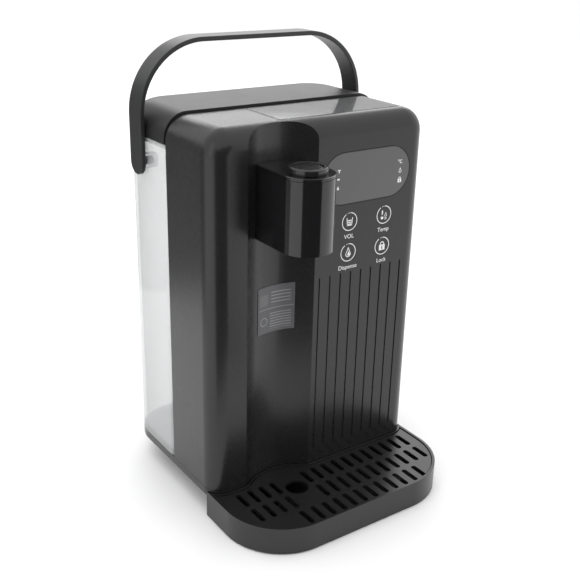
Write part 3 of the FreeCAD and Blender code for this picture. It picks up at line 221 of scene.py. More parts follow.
class Finish:
    """One material while its nodes are added."""

    def __init__(self, name):
        self.material = bpy.data.materials.new(name)
        self.material.use_nodes = True
        self.tree = self.material.node_tree
        self.tree.nodes.clear()
        self.output = self.tree.nodes.new("ShaderNodeOutputMaterial")
        self.place = self.add("ShaderNodeTexCoord", {}, {}, "Object")

    def add(self, kind, settings, sockets, output=0):
        """Adds a node: its settings first, then the values or links of its sockets."""
        node = self.tree.nodes.new(kind)
        for key, value in settings.items():
            setattr(node, key, value)
        for key, value in sockets.items():
            if isinstance(value, Wire):
                self.tree.links.new(value.socket, node.inputs[key])
            else:
                node.inputs[key].default_value = value
        return Wire(self, node.outputs[output])

    def noise(self, scale, detail=2.0, rough=0.5, warp=0.0, at=None):
        sockets = {"Vector": at or self.place, "Scale": scale, "Detail": detail, "Roughness": rough,
                   "Distortion": warp}
        return self.add("ShaderNodeTexNoise", {}, sockets, "Fac")

    def axes(self):
        """The place's x, y and z in metres."""
        parts = self.add("ShaderNodeSeparateXYZ", {}, {"Vector": self.place})
        node = parts.socket.node
        return [Wire(self, node.outputs[index]) for index in range(3)]

    def stretch(self, x, y, z):
        """The place with each axis scaled, for grain that runs one way."""
        return self.add("ShaderNodeMapping", {}, {"Vector": self.place, "Scale": (x, y, z)})

    def blend(self, share, first, second):
        """A colour between two colours."""
        return self.add("ShaderNodeMix", {"data_type": "RGBA"}, {0: share, 6: first, 7: second}, 2)

    def bump(self, height, strength, distance):
        return self.add(
            "ShaderNodeBump", {}, {"Height": height, "Strength": strength, "Distance": distance})

    def surface(self, **sockets):
        """The main shader; names use underscores for spaces."""
        values = {key.replace("_", " "): value for key, value in sockets.items()}
        shader = self.add("ShaderNodeBsdfPrincipled", {}, values)
        self.tree.links.new(shader.socket, self.output.inputs["Surface"])
        return self.material


def shade(colour, factor):
    return tuple(min(1.0, channel * factor) for channel in colour[:3]) + (1.0,)


def box_mask(x, z, left, right, low, high):
    """1 inside a rectangle on the front, 0 outside."""
    return (x > left) * (x < right) * (z > low) * (z < high)


def near_grid(along, pitch, half):
    """1 within half a width of the lines that repeat at a pitch, 0 between them."""
    return abs(along.repeat(pitch) - pitch / 2) < half


# ---------------------------------------------------------------- finishes


def satin_moulding(name, colour, roughness, grain=0.10, grain_scale=2600.0):
    """Fine spark-eroded moulding: sand-like grain, faint flow marks and handling haze."""
    finish = Finish(name)
    flow = finish.noise(9.0, 4.0, 0.55, 0.4)
    haze = finish.noise(38.0, 5.0, 0.6)
    fleck = finish.noise(900.0, 2.0) > 0.71
    tone = finish.blend(flow, shade(colour, 0.80), shade(colour, 1.22))
    tone = finish.blend(fleck * 0.35, tone, shade(colour, 1.9))
    sand = finish.noise(grain_scale, 3.0, 0.6)
    soft = finish.noise(grain_scale * 0.22, 2.0)
    height = sand * 0.7 + soft * 0.3
    return finish.surface(
        Base_Color=tone,
        Roughness=roughness + (haze - 0.5) * 0.06 + (sand - 0.5) * 0.06,
        Specular_IOR_Level=0.5,
        Normal=finish.bump(height, grain, 0.00012),
    )


def glossy_moulding(name, colour, roughness=0.13):
    """Polished moulding with a slight orange peel, wipe marks and a little dust."""
    finish = Finish(name)
    peel = finish.noise(260.0, 2.0, 0.4)
    wipe = finish.noise(1.0, 5.0, 0.65, 0.0, finish.stretch(160.0, 160.0, 14.0))
    dust = finish.noise(1500.0, 1.0) > 0.76
    tone = finish.blend(dust * 0.5, shade(colour, 1.0), (0.09, 0.09, 0.09, 1.0))
    tone = finish.blend(wipe * 0.3, tone, shade(colour, 1.6))
    return finish.surface(
        Base_Color=tone,
        Roughness=roughness + (wipe - 0.5) * 0.12 + dust * 0.25,
        Coat_Weight=0.2,
        Coat_Roughness=0.06,
        Normal=finish.bump(peel, 0.06, 0.0002),
    )


def clear_wall(name, colour, tint_share, roughness=0.04):
    """Clear moulded wall with faint flow lines, seen through."""
    finish = Finish(name)
    flow = finish.noise(1.0, 4.0, 0.6, 0.3, finish.stretch(30.0, 30.0, 5.0))
    haze = finish.noise(70.0, 4.0, 0.6)
    edge = finish.add("ShaderNodeLayerWeight", {}, {"Blend": 0.35}, "Facing")
    return finish.surface(
        Base_Color=finish.blend(flow, shade(colour, 0.96), shade(colour, 1.04)),
        Roughness=roughness + haze * 0.06,
        IOR=1.46,
        Alpha=tint_share + edge * (0.62 - tint_share) + (haze - 0.5) * 0.05,
        Normal=finish.bump(flow, 0.05, 0.0006),
    )


def display_glass(colour):
    """Smoked window with a faint dot raster of the unlit panel behind it, and a painted dark line round
    its edge as the shade of the gap.
    """
    finish = Finish("smoked_window")
    x, _, z = finish.axes()
    dots = near_grid(x, DOT_PITCH, DOT_HALF) * near_grid(z, DOT_PITCH, DOT_HALF)
    smear = finish.noise(24.0, 4.0, 0.6, 0.6)
    tone = finish.blend(dots * 0.30, shade(colour, 1.0), shade(colour, 2.6))
    tone = finish.blend(smear * 0.25, tone, shade(colour, 1.5))
    low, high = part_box("display_window")
    rounding = (high[2] - low[2]) / 2
    along = (abs(x - (low[0] + high[0]) / 2) - ((high[0] - low[0]) / 2 - rounding)).bigger(0.0)
    up = z - (low[2] + high[2]) / 2
    # painted shade: a dark line round the window's edge stands in for the shade in the gap round it
    gap_shade = (along * along + up * up) > (rounding - GAP_SHADE_WIDTH) ** 2
    tone = finish.blend(gap_shade, tone, shade(colour, 0.08))
    return finish.surface(
        Base_Color=tone,
        Roughness=0.10 + smear * 0.12,
        Coat_Weight=0.6,
        Coat_Roughness=0.05,
        Normal=finish.bump(finish.noise(320.0, 2.0), 0.03, 0.0002),
    )


def plate_finish(colour):
    """Silvery plate with plain printed blocks and rules, and no lettering."""
    finish = Finish("silver_plate")
    x, _, z = finish.axes()
    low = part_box("info_label")[0]
    # millimetres from the plate's lower left corner
    x = (x - low[0]) / MM
    z = (z - low[2]) / MM
    block = box_mask(x, z, 2.5, 10.5, 22.0, 31.0)
    grid = ((x.repeat(1.6) > 0.8) * (z.repeat(1.6) > 0.8)) * block
    frame_line = box_mask(x, z, 1.0, 31.0, 19.0, 19.5)
    rules = box_mask(x, z, 13.0, 29.0, 21.5, 33.0) * (z.repeat(2.6) < 0.75)
    lower = box_mask(x, z, 12.0, 29.5, 2.5, 16.5) * (z.repeat(2.1) < 0.62)
    across, up = x - 6.2, z - 9.5
    disc = ((across * across + up * up) < 12.0) - ((across * across + up * up) < 8.2)
    ink = grid.bigger(frame_line).bigger(rules).bigger(lower).bigger(disc)
    ragged = finish.noise(4200.0, 1.0) > 0.40
    brushed = finish.noise(1.0, 4.0, 0.6, 0.0, finish.stretch(120.0, 120.0, 2600.0))
    tone = finish.blend(brushed, shade(colour, 0.82), shade(colour, 1.18))
    tone = finish.blend(ink * (0.55 + ragged * 0.2), tone, (0.30, 0.30, 0.30, 1.0))
    return finish.surface(
        Base_Color=tone,
        Roughness=0.34 + brushed * 0.14,
        Metallic=0.35,
        Normal=finish.bump(brushed, 0.05, 0.0001),
    )


def ink_finish(colour):
    """Screen-printed ink with a slightly uneven film."""
    finish = Finish("white_ink")
    film = finish.noise(1800.0, 3.0, 0.6)
    return finish.surface(
        Base_Color=finish.blend(film, shade(colour, 0.86), shade(colour, 1.08)),
        Roughness=0.42 + film * 0.16,
        Normal=finish.bump(film, 0.12, 0.00003),
    )


def brushed_metal(name, colour, roughness=0.28, stretch=(3000.0, 3000.0, 90.0)):
    finish = Finish(name)
    brush = finish.noise(1.0, 4.0, 0.65, 0.0, finish.stretch(*stretch))
    stain = finish.noise(60.0, 4.0, 0.6)
    return finish.surface(
        Base_Color=finish.blend(brush, shade(colour, 0.78), shade(colour, 1.12)),
        Roughness=roughness + brush * 0.14 + (stain - 0.5) * 0.10,
        Metallic=1.0,
        Normal=finish.bump(brush, 0.10, 0.00005),
    )


def soft_rubber(name, colour, roughness=0.72):
    finish = Finish(name)
    cloud = finish.noise(120.0, 5.0, 0.6)
    bloom = finish.noise(1400.0, 2.0)
    return finish.surface(
        Base_Color=finish.blend(cloud, shade(colour, 0.78), shade(colour, 1.30)),
        Roughness=roughness + (bloom - 0.5) * 0.14,
        Sheen_Weight=0.08,
        Normal=finish.bump(bloom, 0.14, 0.0001),
    )


def light_moulding(name, colour):
    """Plain internal moulding with knit lines and a trace of handling."""
    finish = Finish(name)
    knit = finish.noise(45.0, 4.0, 0.6, 1.2)
    grain = finish.noise(1700.0, 3.0)
    return finish.surface(
        Base_Color=finish.blend(knit, shade(colour, 0.86), shade(colour, 1.08)),
        Roughness=0.46 + (grain - 0.5) * 0.12,
        Normal=finish.bump(grain, 0.08, 0.0001),
    )


def circuit_board():
    """Green solder mask over copper tracks, with pads."""
    finish = Finish("solder_mask")
    x, _, z = finish.axes()
    wander = (finish.noise(55.0, 0.0) - 0.5) * 0.010
    upright = (x + wander).repeat(TRACK_PITCH_X) < TRACK_WIDTH_X
    level = (z + wander).repeat(TRACK_PITCH_Z) < TRACK_WIDTH_Z
    tracks = upright.bigger(level)
    region = finish.noise(95.0, 0.0) > 0.5
    pads = near_grid(x, PAD_PITCH, PAD_HALF) * near_grid(z, PAD_PITCH, PAD_HALF)
    tone = finish.blend(tracks * region, (0.012, 0.085, 0.035, 1.0), (0.030, 0.17, 0.070, 1.0))
    tone = finish.blend(pads, tone, (0.62, 0.60, 0.52, 1.0))
    return finish.surface(
        Base_Color=tone,
        Roughness=0.34 + tracks * 0.08,
        Metallic=pads * 0.8,
        Normal=finish.bump(tracks * region + pads, 0.15, 0.00005),
    )


def pale_floor():
    finish = Finish("pale_floor")
    cloud = finish.noise(3.0, 4.0, 0.5)
    return finish.surface(
        Base_Color=finish.blend(cloud, (0.955, 0.955, 0.955, 1.0), (0.975, 0.975, 0.975, 1.0)),
        Roughness=0.78,
        Specular_IOR_Level=0.2,
    )


finishes = {}


def finish_for(key):
    """The shared material for one kind of surface, made when it is first asked for."""
    colours = bpy.context.scene.dispenser_colours
    makers = {
        "body": lambda: satin_moulding("satin_black", colours.body, 0.27, 0.05),
        "lid": lambda: satin_moulding("satin_black_lid", colours.body, 0.44, 0.12),
        "inside": lambda: satin_moulding("plain_black", colours.body, 0.52, 0.16, 1400.0),
        "handle": lambda: satin_moulding("satin_graphite", colours.handle, 0.38, 0.10),
        "tray": lambda: satin_moulding("satin_tray", colours.tray, 0.31, 0.10, 2200.0),
        "gloss": lambda: glossy_moulding("gloss_black", colours.gloss),
        "button": lambda: glossy_moulding("gloss_button", shade(colours.gloss, 1.7), 0.20),
        "window": lambda: display_glass(colours.window),
        "label": lambda: plate_finish(colours.label),
        "tank": lambda: clear_wall("clear_tank", colours.tank, 0.16),
        "film": lambda: clear_wall("clear_film", (0.17, 0.172, 0.175), 0.22, 0.03),
        "ink": lambda: ink_finish(colours.print_white),
        "steel": lambda: brushed_metal("brushed_steel", (0.58, 0.58, 0.60)),
        "spring": lambda: brushed_metal("spring_wire", (0.50, 0.51, 0.53), 0.24, (1800.0, 1800.0, 1800.0)),
        "rubber": lambda: soft_rubber("black_rubber", (0.022, 0.022, 0.022)),
        "silicone": lambda: soft_rubber("milky_silicone", (0.62, 0.62, 0.60), 0.48),
        "white": lambda: light_moulding("white_moulding", (0.74, 0.74, 0.71)),
        "grey": lambda: light_moulding("grey_moulding", (0.26, 0.27, 0.29)),
        "module": lambda: light_moulding("dark_module", (0.045, 0.045, 0.05)),
        "board": circuit_board,
        "floor": pale_floor,
        "dark card": lambda: soft_rubber("dark_card", (0.006, 0.006, 0.006), 0.9),
        "grey card": lambda: soft_rubber("grey_card", (0.22, 0.22, 0.22), 0.9),
    }
    if key not in finishes:
        finishes[key] = makers[key]()
    return finishes[key]


def dress(names, key):
    """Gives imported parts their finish."""
    for name in names:
        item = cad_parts[name]
        for slot in item.material_slots:
            slot.material = finish_for(key)
        if not item.material_slots:
            item.data.materials.append(finish_for(key))


# ---------------------------------------------------------------- modelling helpers


def alone(item):
    """Makes one object the only one selected, and active."""
    bpy.ops.object.select_all(action="DESELECT")
    item.select_set(True)
    bpy.context.view_layer.objects.active = item


def settle(item, name):
    """Applies the object's place to its mesh and names both."""
    alone(item)
    if item.type != "MESH":
        bpy.ops.object.convert(target="MESH")
        item = bpy.context.view_layer.objects.active
    bpy.ops.object.transform_apply(location=True, rotation=True, scale=True)
    item.name = name
    item.data.name = name
    return item


def joined(items, name):
    """Several meshes made one piece."""
    bpy.ops.object.select_all(action="DESELECT")
    for item in items:
        item.select_set(True)
    bpy.context.view_layer.objects.active = items[0]
    if len(items) > 1:
        bpy.ops.object.join()
    return settle(items[0], name)


def bevelled(item, width):
    """Rounds the edges sharper than CRISP and smooths the rest."""
    alone(item)
    modifier = item.modifiers.new("Eased", "BEVEL")
    modifier.width = width
    modifier.segments = 2
    modifier.limit_method = "ANGLE"
    modifier.angle_limit = CRISP
    modifier.use_clamp_overlap = True
    bpy.ops.object.modifier_apply(modifier=modifier.name)
    bpy.ops.object.shade_smooth_by_angle(angle=CRISP)
    # flat faces stay flat in the light next to their rounded edges
    modifier = item.modifiers.new("Evened", "WEIGHTED_NORMAL")
    modifier.keep_sharp = True
    modifier.weight = 100
    bpy.ops.object.modifier_apply(modifier=modifier.name)


def finished(item, body, slot, key, *stands_for):
    """Gives a new piece its finish and its body, and hides the imported parts it stands for."""
    item.data.materials.clear()
    item.data.materials.append(finish_for(key))
    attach(item, body)
    if stands_for:
        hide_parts(*stands_for)


def copied(node_name):
    """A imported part's shape as a new piece, its loose triangles merged."""
    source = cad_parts[node_name]
    item = source.copy()
    item.data = source.data.copy()
    item.parent = None
    item.matrix_world = Matrix.Identity(4)
    bpy.context.collection.objects.link(item)
    alone(item)
    bpy.ops.object.mode_set(mode="EDIT")
    bpy.ops.mesh.select_all(action="SELECT")
    bpy.ops.mesh.remove_doubles(threshold=WELD)
    bpy.ops.object.mode_set(mode="OBJECT")
    return settle(item, "made_" + node_name)


def eased(node_name, width, body, slot, key):
    """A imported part's shape with its crisp edges rounded, as it leaves a mould."""
    item = copied(node_name)
    bpy.ops.object.mode_set(mode="EDIT")
    bpy.ops.mesh.select_all(action="SELECT")
    bpy.ops.mesh.dissolve_limited(angle_limit=FLAT)
    bpy.ops.object.mode_set(mode="OBJECT")
    bevelled(item, width)
    finished(item, body, slot, key, node_name)


def pressed_spring(node_name, body, key):
    """A coil spring copied from its imported part, smoothly shaded, with a mesh of its own."""
    item = copied(node_name)
    bpy.ops.object.shade_smooth_by_angle(angle=WIRE_TURN)
    finished(item, body, "steel", key, node_name)
    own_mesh(item)


# ---------------------------------------------------------------- print


def bar(x, z, width, height, lean=0.0):
    """A thin printed bar on the front, leaning to the right by an angle."""
    rise = bpy.context.scene.dispenser_sizes.print_rise
    bpy.ops.object.select_all(action="DESELECT")
    bpy.ops.mesh.primitive_cube_add(size=1, location=(x, FRONT - rise / 2, z), rotation=(0, lean, 0))
    item = bpy.context.view_layer.objects.active
    item.scale = (width, rise, height)
    alone(item)
    bpy.ops.object.transform_apply(location=True, rotation=True, scale=True)
    return item


def ring(x, z, outer, line, low_angle=0.0, high_angle=360.0, steps=72):
    """A flat printed ring, open between two angles measured from the right."""
    rise = bpy.context.scene.dispenser_sizes.print_rise
    bpy.ops.object.select_all(action="DESELECT")
    bpy.ops.mesh.primitive_circle_add(
        vertices=steps, radius=outer, location=(x, FRONT, z), rotation=(math.pi / 2, 0, 0))
    item = bpy.context.view_layer.objects.active
    bpy.ops.object.transform_apply(location=True, rotation=True, scale=True)
    bpy.ops.object.mode_set(mode="EDIT")
    bpy.ops.mesh.select_all(action="SELECT")
    bpy.ops.mesh.extrude_edges_move()
    share = (outer - line) / outer
    bpy.ops.transform.resize(value=(share, 1, share), center_override=(x, FRONT, z))
    shape = bmesh.from_edit_mesh(item.data)
    for face in shape.faces:
        middle = face.calc_center_median()
        angle = math.degrees(math.atan2(middle.z - z, middle.x - x)) % 360
        face.select_set(not low_angle <= angle <= high_angle)
    bmesh.update_edit_mesh(item.data)
    if any(face.select for face in shape.faces):
        bpy.ops.mesh.delete(type="FACE")
    bpy.ops.mesh.select_all(action="SELECT")
    bpy.ops.mesh.extrude_region_move(TRANSFORM_OT_translate={"value": (0, -rise, 0)})
    bpy.ops.mesh.select_all(action="SELECT")
    bpy.ops.mesh.normals_make_consistent(inside=False)
    bpy.ops.object.mode_set(mode="OBJECT")
    return item


def drop(x, z, radius, line=0.0):
    """A printed water drop, filled or drawn as an outline."""
    rise = bpy.context.scene.dispenser_sizes.print_rise
    bpy.ops.object.select_all(action="DESELECT")
    bpy.ops.mesh.primitive_circle_add(
        vertices=40, radius=radius, location=(x, FRONT, z), rotation=(math.pi / 2, 0, 0), fill_type="NGON")
    item = bpy.context.view_layer.objects.active
    bpy.ops.object.transform_apply(location=True, rotation=True, scale=True)
    bpy.ops.object.mode_set(mode="EDIT")
    shape = bmesh.from_edit_mesh(item.data)
    for vertex in shape.verts:
        up = (vertex.co.z - z) / radius
        if up > 0:
            # the shoulders draw in and rise to a point
            vertex.co.z = z + radius * up * (1 + 1.05 * up * up)
            vertex.co.x = x + (vertex.co.x - x) * (1 - 0.45 * up)
    bmesh.update_edit_mesh(item.data)
    bpy.ops.mesh.select_all(action="SELECT")
    if line:
        bpy.ops.mesh.inset(thickness=line)
        bpy.ops.mesh.delete(type="FACE")
        bpy.ops.mesh.select_all(action="SELECT")
    bpy.ops.mesh.extrude_region_move(TRANSFORM_OT_translate={"value": (0, -rise, 0)})
    bpy.ops.mesh.select_all(action="SELECT")
    bpy.ops.mesh.normals_make_consistent(inside=False)
    bpy.ops.object.mode_set(mode="OBJECT")
    return item


def caption(text, x, z, height):
    """A short generic word centred on a point of the front."""
    rise = bpy.context.scene.dispenser_sizes.print_rise
    bpy.ops.object.select_all(action="DESELECT")
    bpy.ops.object.text_add(location=(x, FRONT - rise / 2, z), rotation=(math.pi / 2, 0, 0))
    item = bpy.context.view_layer.objects.active
    item.data.body = text
    item.data.size = height / CAPITALS_SHARE
    item.data.extrude = rise / 2
    item.data.align_x = "CENTER"
    item.data.align_y = "CENTER"
    item.data.resolution_u = 4
    alone(item)
    bpy.ops.object.convert(target="MESH")
    item = bpy.context.view_layer.objects.active
    bpy.ops.object.transform_apply(location=True, rotation=True, scale=True)
    return item


def padlock(x, z, size):
    """A printed padlock: a plate with a keyhole gap and a bow above it."""
    bow = ring(x, z + 0.30 * size, 0.36 * size, 0.13 * size, 0.0, 180.0, 40)
    plate = [
        bar(x - 0.31 * size, z - 0.18 * size, 0.38 * size, 0.80 * size),
        bar(x + 0.31 * size, z - 0.18 * size, 0.38 * size, 0.80 * size),
        bar(x, z + 0.13 * size, 0.26 * size, 0.18 * size),
        bar(x, z - 0.50 * size, 0.26 * size, 0.16 * size),
    ]
    sides = [
        bar(x + side * 0.295 * size, z + 0.24 * size, 0.13 * size, 0.14 * size) for side in (-1, 1)
    ]
    keyhole = ring(x, z - 0.10 * size, 0.095 * size, 0.03 * size, 0.0, 360.0, 24)
    return [bow, *plate, *sides, keyhole]


# ---------------------------------------------------------------- pieces


class DISPENSER_OT_housing(bpy.types.Operator):
    """Front housing, bulkhead and base with eased edges"""

    bl_idname = "dispenser.housing"
    bl_label = "Housing and Base"

    def execute(self, context):
        sizes = context.scene.dispenser_sizes
        eased("front_housing", sizes.fine_ease, "main", "body_black", "body")
        eased("base_pan", sizes.fine_ease, "main", "body_black", "body")
        dress(["rear_bulkhead", "base_cover"], "inside")
        dress(["rubber_feet", "cord_gland"], "rubber")
        dress(["top_film"], "film")
        return {"FINISHED"}


class DISPENSER_OT_touch_field(bpy.types.Operator):
    """Four touch keys: a ring, a symbol and a generic caption each"""

    bl_idname = "dispenser.touch_field"
    bl_label = "Touch Field"

    def execute(self, context):
        sizes = context.scene.dispenser_sizes
        outer, line = sizes.ring_diameter / 2, sizes.ring_line
        keys = {
            "volume": (23.5 * MM, 220.7 * MM, "VOL"),
            "temperature": (56.6 * MM, 220.8 * MM, "Temp"),
            "dispense": (23.5 * MM, 196.5 * MM, "Dispense"),
            "lock": (56.5 * MM, 195.9 * MM, "Lock"),
        }
        for name, (x, z, word) in keys.items():
            marks = [ring(x, z, outer, line, 0.0, 84.0), ring(x, z, outer, line, 118.0, 360.0)]
            marks += [ring(x, z, outer, line, low, low + 3.0, 120) for low in (89.0, 97.0, 105.0)]
            marks += getattr(self, name)(x, z)
            marks.append(caption(word, x, z - CAPTION_DROP, sizes.caption_height))
            piece = joined(marks, "key_" + name)
            finished(piece, "main", "label_silver", "ink")
        return {"FINISHED"}

    def volume(self, x, z):
        """A tumbler with level lines."""
        marks = [bar(x + side * 2.3 * MM, z, 0.6 * MM, 6.0 * MM, side * 0.10) for side in (-1, 1)]
        marks.append(bar(x, z - 2.9 * MM, 4.4 * MM, 0.6 * MM))
        for level, width in ((0.9, 3.6), (-0.6, 3.2), (-2.0, 3.0)):
            marks.append(bar(x, z + level * MM, width * MM, 0.75 * MM))
        return marks

    def temperature(self, x, z):
        """A thermometer beside a drop."""
        marks = [bar(x - 1.7 * MM, z + 1.0 * MM, 1.1 * MM, 5.0 * MM)]
        marks.append(drop(x - 1.7 * MM, z - 2.1 * MM, 1.35 * MM))
        marks.append(drop(x + 1.7 * MM, z - 0.6 * MM, 1.25 * MM, 0.4 * MM))
        marks += [bar(x + 1.7 * MM, z - height * MM, 2.2 * MM, 0.4 * MM) for height in (2.7, 3.6)]
        return marks

    def dispense(self, x, z):
        """A drop with a bright heart."""
        return [drop(x, z - 1.1 * MM, 2.55 * MM, 0.6 * MM), drop(x + 0.5 * MM, z - 1.5 * MM, 1.15 * MM)]

    def lock(self, x, z):
        return padlock(x, z - 0.2 * MM, 5.6 * MM)


class DISPENSER_OT_display(bpy.types.Operator):
    """Display window with its small unlit marks"""

    bl_idname = "dispenser.display"
    bl_label = "Display"

    def execute(self, context):
        sizes = context.scene.dispenser_sizes
        eased("display_window", sizes.fine_ease / 2, "main", "window_black", "window")
        x = RIGHT_MARKS
        right = [ring(x + 0.5 * MM, 260.5 * MM, 1.45 * MM, 0.55 * MM, 45.0, 315.0, 40)]
        right.append(ring(x - 1.9 * MM, 261.6 * MM, 0.62 * MM, 0.3 * MM, 0.0, 360.0, 24))
        right.append(drop(x, 253.2 * MM, 1.35 * MM, 0.45 * MM))
        right += padlock(x, 246.4 * MM, 3.5 * MM)
        finished(joined(right, "display_marks_right"), "main", "label_silver", "ink")
        x = LEFT_MARKS
        left = [bar(x, 260.9 * MM, 2.8 * MM, 0.7 * MM), bar(x, 259.8 * MM, 0.8 * MM, 1.8 * MM)]
        left.append(bar(x - 0.4 * MM, 254.2 * MM, 2.2 * MM, 1.1 * MM))
        left.append(drop(x - 0.6 * MM, 247.3 * MM, 0.95 * MM))
        finished(joined(left, "display_marks_left"), "main", "label_silver", "ink")
        return {"FINISHED"}


class DISPENSER_OT_label(bpy.types.Operator):
    """Plain printed plate in the channel"""

    bl_idname = "dispenser.label"
    bl_label = "Channel Plate"

    def execute(self, context):
        dress(["info_label"], "label")
        return {"FINISHED"}


class DISPENSER_OT_spout(bpy.types.Operator):
    """Spout head, its cap, the button and the nozzle"""

    bl_idname = "dispenser.spout"
    bl_label = "Spout and Button"

    def execute(self, context):
        sizes = context.scene.dispenser_sizes
        eased("spout_head", sizes.shell_ease, "main", "gloss_black", "gloss")
        eased("spout_cap", sizes.shell_ease, "main", "gloss_black", "gloss")
        eased("button_collar", sizes.fine_ease, "main", "button_grey", "button")
        eased("push_button", sizes.fine_ease, "button", "button_grey", "button")
        eased("nozzle", sizes.fine_ease, "main", "gloss_black", "gloss")
        dress(["nozzle_sieve"], "steel")
        pressed_spring("button_spring", "main", "spring")
        dress(["button_guide"], "white")
        dress(["micro_switch"], "module")
        return {"FINISHED"}


class DISPENSER_OT_tank(bpy.types.Operator):
    """Clear tank with its lid, valve and carrying handle"""

    bl_idname = "dispenser.tank"
    bl_label = "Tank, Lid and Handle"

    def execute(self, context):
        sizes = context.scene.dispenser_sizes
        eased("tank", sizes.shell_ease, "tank", "tank_clear", "tank")
        eased("tank_lid", sizes.fine_ease, "lid", "body_black", "lid")
        eased("carry_handle", sizes.fine_ease, "handle", "handle_grey", "handle")
        dress(["handle_pins"], "handle")
        dress(["lid_seal", "valve_seal"], "silicone")
        dress(["valve_body", "valve_nut", "valve_stem", "valve_guide"], "white")
        dress(["valve_spring"], "spring")
        return {"FINISHED"}


class DISPENSER_OT_tray(bpy.types.Operator):
    """Drip tray and its lift-out grille"""

    bl_idname = "dispenser.tray"
    bl_label = "Drip Tray"

    def execute(self, context):
        sizes = context.scene.dispenser_sizes
        eased("drip_tray", sizes.shell_ease, "tray", "tray_black", "tray")
        eased("drip_grille", sizes.fine_ease, "grille", "tray_black", "tray")
        return {"FINISHED"}


class DISPENSER_OT_works(bpy.types.Operator):
    """Pump, heater, boards, hoses and fixings inside the housing"""

    bl_idname = "dispenser.works"
    bl_label = "Works"

    def execute(self, context):
        dress(["heater_tube", "heater_clips", "pump_motor", "temperature_probe", "dock_screen"], "steel")
        dress(["board_screws", "base_screws", "cover_screws", "panel_screws", "head_screws"], "spring")
        dress(["control_board", "power_board"], "board")
        dress(["display_module", "power_parts", "thermal_cutouts"], "module")
        dress(["pump_head", "flow_meter", "board_spacers"], "white")
        dress(["touch_springs", "heater_caps", "dock_socket"], "grey")
        dress(["hose_suction", "hose_pump", "hose_heater", "hose_outlet", "dock_seal"], "silicone")
        dress(["pump_mount"], "rubber")
        return {"FINISHED"}


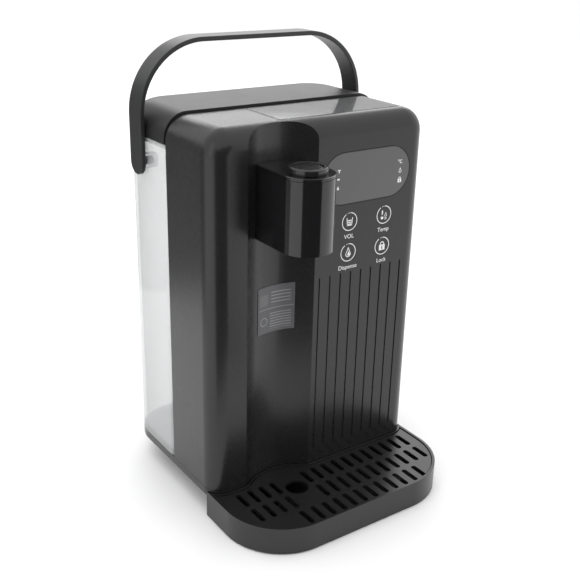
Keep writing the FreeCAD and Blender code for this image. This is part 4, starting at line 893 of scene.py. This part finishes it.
class DISPENSER_OT_stage(bpy.types.Operator):
    """Pale floor, soft boxes and the camera"""

    bl_idname = "dispenser.stage"
    bl_label = "Stage"

    def soft_box(self, name, power):
        """An area light that looks at the dispenser's middle."""
        place, width, height = SOFT_BOXES[name]
        bpy.ops.object.select_all(action="DESELECT")
        bpy.ops.object.light_add(type="AREA", location=place)
        item = bpy.context.view_layer.objects.active
        item.name = name + "_box"
        item.data.shape = "RECTANGLE"
        item.data.size = width
        item.data.size_y = height
        item.data.energy = power
        item.rotation_euler = (Vector(AIM) - Vector(place)).to_track_quat("-Z", "Y").to_euler()
        return item

    def flag_card(self, name, near, reach, turns, tall, key):
        """A card on the floor and up behind it, between two turns from the front, that only gloss sees."""
        bpy.ops.object.select_all(action="DESELECT")
        bpy.ops.mesh.primitive_circle_add(vertices=CARD_STEPS, radius=near, location=(0, 0, CARD_RISE))
        card = bpy.context.view_layer.objects.active
        bpy.ops.object.mode_set(mode="EDIT")
        bpy.ops.mesh.select_all(action="SELECT")
        bpy.ops.mesh.extrude_edges_move()
        share = reach / near
        bpy.ops.transform.resize(value=(share, share, 1), center_override=(0, 0, CARD_RISE))
        bpy.ops.mesh.extrude_edges_move(TRANSFORM_OT_translate={"value": (0, 0, tall)})
        shape = bmesh.from_edit_mesh(card.data)
        for face in shape.faces:
            middle = face.calc_center_median()
            turn = math.degrees(math.atan2(-middle.x, -middle.y))
            face.select_set(not turns[0] <= turn <= turns[1])
        bmesh.update_edit_mesh(card.data)
        bpy.ops.mesh.delete(type="FACE")
        bpy.ops.object.mode_set(mode="OBJECT")
        card = settle(card, name)
        card.data.materials.append(finish_for(key))
        card.visible_camera = False
        card.visible_diffuse = False
        card.visible_shadow = False
        card.visible_transmission = False

    def execute(self, context):
        studio = context.scene.dispenser_studio
        bpy.ops.object.select_all(action="DESELECT")
        bpy.ops.mesh.primitive_plane_add(size=12, location=(0, 0, 0))
        floor = bpy.context.view_layer.objects.active
        floor = settle(floor, "studio_floor")
        floor.data.materials.append(finish_for("floor"))

        world = context.scene.world or bpy.data.worlds.new("room")
        context.scene.world = world
        world.use_nodes = True
        sky = world.node_tree.nodes["Background"]
        sky.inputs["Color"].default_value = (1.0, 1.0, 1.0, 1.0)
        sky.inputs["Strength"].default_value = studio.room
        context.scene.view_settings.view_transform = "Standard"

        for name, card in CARDS.items():
            self.flag_card(name, *card)

        overhead = self.soft_box("overhead", studio.overhead)
        overhead.visible_glossy = False
        self.soft_box("rear", studio.rear)
        self.soft_box("side", studio.side)
        self.camera(studio.lens)
        return {"FINISHED"}

    def camera(self, lens):
        """The camera at its place, turned by AZIMUTH, lowered by PITCH and leaning by ROLL."""
        bpy.ops.object.camera_add(location=CAMERA_PLACE)
        camera = bpy.context.view_layer.objects.active
        camera.name = "view_camera"
        camera.data.lens = lens
        camera.data.sensor_width = 36.0
        camera.data.dof.use_dof = False
        ahead = Vector((
            -math.sin(AZIMUTH) * math.cos(PITCH), math.cos(AZIMUTH) * math.cos(PITCH), -math.sin(PITCH)))
        right = ahead.cross(Vector((0, 0, 1))).normalized()
        up = right.cross(ahead)
        turned_right = right * math.cos(ROLL) + up * math.sin(ROLL)
        turned_up = up * math.cos(ROLL) - right * math.sin(ROLL)
        turn = Matrix((turned_right, turned_up, -ahead)).transposed()
        camera.rotation_euler = turn.to_euler()
        bpy.context.scene.camera = camera


class DISPENSER_PT_panel(bpy.types.Panel):
    """The dispenser's pieces and settings"""

    bl_idname = "DISPENSER_PT_panel"
    bl_label = "Water Dispenser"
    bl_space_type = "VIEW_3D"
    bl_region_type = "UI"
    bl_category = "Dispenser"

    def draw(self, context):
        column = self.layout.column(align=True)
        for step in STEPS:
            column.operator(step.bl_idname)
        for group in (context.scene.dispenser_colours, context.scene.dispenser_sizes,
                      context.scene.dispenser_studio):
            box = self.layout.box()
            for name in group.__annotations__:
                box.prop(group, name)


STEPS = (
    DISPENSER_OT_housing,
    DISPENSER_OT_touch_field,
    DISPENSER_OT_display,
    DISPENSER_OT_label,
    DISPENSER_OT_spout,
    DISPENSER_OT_tank,
    DISPENSER_OT_tray,
    DISPENSER_OT_works,
    DISPENSER_OT_stage,
)
CLASSES = (DispenserColours, DispenserSizes, DispenserStudio, *STEPS, DISPENSER_PT_panel)


def register():
    for item in CLASSES:
        bpy.utils.register_class(item)
    bpy.types.Scene.dispenser_colours = PointerProperty(type=DispenserColours)
    bpy.types.Scene.dispenser_sizes = PointerProperty(type=DispenserSizes)
    bpy.types.Scene.dispenser_studio = PointerProperty(type=DispenserStudio)


def unregister():
    del bpy.types.Scene.dispenser_studio
    del bpy.types.Scene.dispenser_sizes
    del bpy.types.Scene.dispenser_colours
    for item in reversed(CLASSES):
        bpy.utils.unregister_class(item)


def main():
    register()
    bpy.ops.dispenser.housing()
    bpy.ops.dispenser.touch_field()
    bpy.ops.dispenser.display()
    bpy.ops.dispenser.label()
    bpy.ops.dispenser.spout()
    bpy.ops.dispenser.tank()
    bpy.ops.dispenser.tray()
    bpy.ops.dispenser.works()
    bpy.ops.dispenser.stage()


if __name__ == "__main__":
    main()
